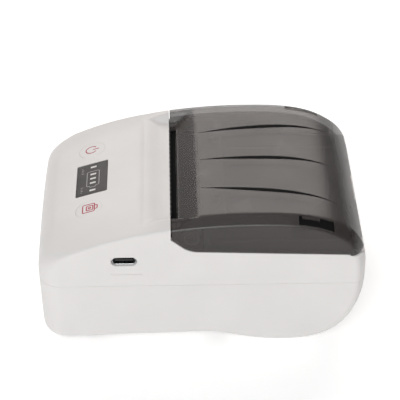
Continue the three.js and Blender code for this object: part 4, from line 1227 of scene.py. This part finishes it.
def groove(name, side, section, count=48):
    """A solid along one curved groove: section(half width, depth) lists (across, height over the skin)."""
    rings = []
    for k in range(count + 1):
        t = k / count
        full = max(0.05, math.sin(math.pi * clamp(t)))  # nothing at the ends, full at the middle
        w, d = GROOVE_WIDTH / 2 * full, GROOVE_DEPTH * full
        y = mix(GROOVE_START, GROOVE_END, t)
        x = side * (GROOVE_SIDE + GROOVE_FAN * t**GROOVE_BEND)
        point = Vector((x, y, skin_z(x, y)))
        ahead = Vector((x, y + 0.1, skin_z(x, y + 0.1)))
        along_y = (ahead - point).normalized()
        normal = Vector((0, -along_y.z, along_y.y))
        rings.append([point + Vector((across, 0, 0)) + normal * up for across, up in section(w, d)])
    return loft(name, rings)


def hollow(w, d):
    """The groove's section, from over the skin on one side to over it on the other."""
    left = [(-w - 0.25, 0.3), (-w, 0), (-w * 0.8, -d * 0.8), (0, -d)]
    return left + [(w * 0.8, -d * 0.5), (w, 0), (w + 0.25, 0.3)]


def shade_filling(w, d):
    """The section of the black piece in the groove, which paints the groove's shade."""
    return [(-w * 0.9, -d * 0.35), (-w * 0.75, -d - 0.15), (w * 0.6, -d - 0.15), (w * 0.85, -d * 0.25)]


def notch_block(name, side, span_y, span_x, low, high, count=14):
    """A block that follows the cover's edge band, between two heights over its skin."""
    rings = []
    for k in range(count + 1):
        y = mix(*span_y, k / count)
        corners = [(span_x[0], high), (span_x[1], high), (span_x[1], low), (span_x[0], low)]
        rings.append([(side * x, y, skin_z(x, y) + up) for x, up in corners])
    return loft(name, rings)


def make_cover_pieces():
    """The cover with its grooves, catch windows and hinge gaps cut out, and black pieces in the grooves that
    paint their shade.
    """
    cover = make_cover()
    tools = [groove("cutter", side, hollow) for side in (-1, 0, 1)]
    tools += [notch_block("cutter", side, NOTCH_Y, NOTCH_X, -NOTCH_DEPTH, 0.8) for side in (-1, 1)]
    tools += [swing_room(*span) for span in KNUCKLES.values()]
    cut(cover, *tools)
    add(cover, "cover", "smoke_cover", "roll_cover")
    for side, place in ((-1, "left"), (0, "middle"), (1, "right")):
        # painted shade: a matt black piece along each groove's floor makes the groove read dark
        add_black(groove("groove_shade_" + place, side, shade_filling), "cover")
        if side:
            make_notch(side, place)


def swing_room(x_from, x_to):
    """The room that the cover leaves round one of the case's hinge knuckles."""
    reach, ends = BARREL + GAP, (x_from - GAP, x_to + GAP)
    profile = [(0, ends[0]), (reach, ends[0]), (reach, ends[1]), (0, ends[1])]
    return lathe("cutter", profile, (0, PIN_Y, PIN_Z), "X")


def round_pin(outline, x):
    """An outline round the origin, laid round the hinge pin at x."""
    return [(x, PIN_Y + y, PIN_Z + z) for y, z in outline]


def knuckle_section(inset):
    """Three quarters of a turn round the pin, then the web down to the rear wall."""
    radius = BARREL - inset
    turns = [math.radians(mix(-70, 215, k / 24)) for k in range(25)]
    web = [(inset - 1.8, -5), (2.2 - inset, -5), (2.2 - inset, -2.9), (0.6 - inset, -2.8)]
    return [(radius * math.cos(a), radius * math.sin(a)) for a in turns] + web


def make_hinge():
    """The case's knuckles round the hinge pin, and the black core of the cover's rolled edge."""
    core_from, core_to = KNUCKLES["middle"][1] + 0.5, KNUCKLES["right"][0] - 0.5
    bore, skin = 1.15, BARREL - 0.2
    tube = (bore, core_from), (skin, core_from), (skin, core_to), (bore, core_to)
    for place, side in (("left", -1), ("right", 1)):
        rings = [round_pin(circle(radius, 40), side * x) for radius, x in tube]
        add_black(loft("barrel_core_" + place, rings, closed=True), "cover")
    for place, (x_from, x_to) in KNUCKLES.items():
        ends = ((x_from, 0.2), (x_from + 0.2, 0), (x_to - 0.2, 0), (x_to, 0.2))
        rings = [round_pin(knuckle_section(inset), x) for x, inset in ends]
        add(loft("hinge_knuckle_" + place, rings), "case", "case_white")


def make_notch(side, place):
    """The catch window in the cover's edge: a black plate that paints the window's shade, with a raised
    smoke-grey lip along it.
    """
    inside_y, inside_x = ((low + 0.08, high - 0.08) for low, high in (NOTCH_Y, NOTCH_X))
    bottom, top = 0.03 - NOTCH_DEPTH, 0.3 - NOTCH_DEPTH
    # painted shade: the black plate darkens the window's floor
    plate = notch_block("catch_shade_plate_" + place, side, inside_y, inside_x, bottom, top)
    add_black(plate, "cover")
    lip_y, lip_x = (inside_y[0] + 1.2, mix(*inside_y, 0.6)), (inside_x[0] + 0.1, inside_x[0] + 1.1)
    add(notch_block("catch_lip_" + place, side, lip_y, lip_x, top, -0.15), "cover", "smoke_cover")


def make_head_shade_cap():
    """The black cap over the heatsink's upper edge, seen down in the paper slot; its black also paints the
    slot's shade.
    """
    (_, front, _), (_, _, top) = node_box("head_heatsink")
    half, rear, _ = node_box("head_ceramic")[1]
    # painted shade: the cap's black makes the deep paper slot read dark
    cap = block("head_shade_cap", (-half, front + 0.1, top + 0.02), (half, rear - 0.1, top + 0.32), 0.1)
    add_black(cap, "printhead")


# ---- camera, light and floor
TARGET = Vector((0, 0.0003, 0.0372))
AZIMUTH, ELEVATION, DISTANCE = 88.6, 36.0, 0.589
LENS, SENSOR = 139.0, 36.0


def towards(azimuth, elevation):
    """The direction from the object to a viewer: azimuth 0 stands on -Y, 90 on +X."""
    a, e = math.radians(azimuth), math.radians(elevation)
    return Vector((math.sin(a) * math.cos(e), -math.cos(a) * math.cos(e), math.sin(e)))


def aim(thing, location, target):
    thing.location = location
    thing.rotation_euler = (target - location).to_track_quat("-Z", "Y").to_euler()
    bpy.context.scene.collection.objects.link(thing)


def make_camera():
    data = bpy.data.cameras.new("camera")
    data.lens = LENS
    data.sensor_width = SENSOR
    camera = bpy.data.objects.new("camera", data)
    aim(camera, TARGET + towards(AZIMUTH, ELEVATION) * DISTANCE, TARGET)
    bpy.context.scene.camera = camera


def softbox(name, azimuth, elevation, distance, size, power, colour=(1, 1, 1)):
    data = bpy.data.lights.new(name, "AREA")
    data.color = colour
    data.shape = "RECTANGLE"
    data.size, data.size_y = size
    data.energy = power
    aim(bpy.data.objects.new(name, data), TARGET + towards(azimuth, elevation) * distance, TARGET)


FLOOR_HALF, FLOOR_SINK = 2500, 0.02


def make_floor():
    """A wide pale floor just under the feet, which glows a little."""
    bm = bmesh.new()
    sink = Matrix.Translation((0, 0, -FLOOR_SINK))
    bmesh.ops.create_grid(bm, x_segments=8, y_segments=8, size=FLOOR_HALF, matrix=sink)
    floor = finish_mesh("floor", bm)
    glow = {"Emission_Color": (1, 1, 1, 1), "Emission_Strength": 0.3}
    finish = Finish("floor_paper", (0.93, 0.93, 0.93), 0.9, **glow)
    dress(floor, finish.cloud(0.01, 300).mottle(0.85, 0.95, 80))


def make_world():
    """Soft white surroundings, dimmer behind the hinge."""
    world = bpy.data.worlds.new("studio")
    world.use_nodes = True
    tree = world.node_tree
    place = tree.nodes.new("ShaderNodeTexCoord")
    split = tree.nodes.new("ShaderNodeSeparateXYZ")
    dim = tree.nodes.new("ShaderNodeMapRange")
    tree.links.new(place.outputs["Generated"], split.inputs[0])
    tree.links.new(split.outputs["Y"], dim.inputs["Value"])
    for socket, value in (("From Min", 0.15), ("From Max", 0.8), ("To Min", 0.43), ("To Max", 0.04)):
        dim.inputs[socket].default_value = value
    tree.links.new(dim.outputs[0], tree.nodes["Background"].inputs["Strength"])
    tree.nodes["Background"].inputs["Color"].default_value = (1, 1, 1, 1)
    bpy.context.scene.world = world


def make_light():
    """A large key light on the camera's side, and a warm panel behind that shines in the cover."""
    softbox("key_light", 80, 36, 1.3, (0.9, 0.7), 9.4)
    softbox("back_panel", 270, 38, 1.2, (1.4, 0.8), 9, (1, 0.94, 0.9))
    make_world()
    bpy.context.scene.view_settings.view_transform = "Standard"


make_camera()
make_light()
make_floor()
dress_cad_nodes()
make_upper()
make_lower()
make_key("power_button", -KEY_X)
make_key("feed_button", KEY_X)
make_power_icon()
make_feed_icon()
make_panel()
make_port()
make_door()
make_screws()
make_feet()
make_cover_pieces()
make_hinge()
make_head_shade_cap()
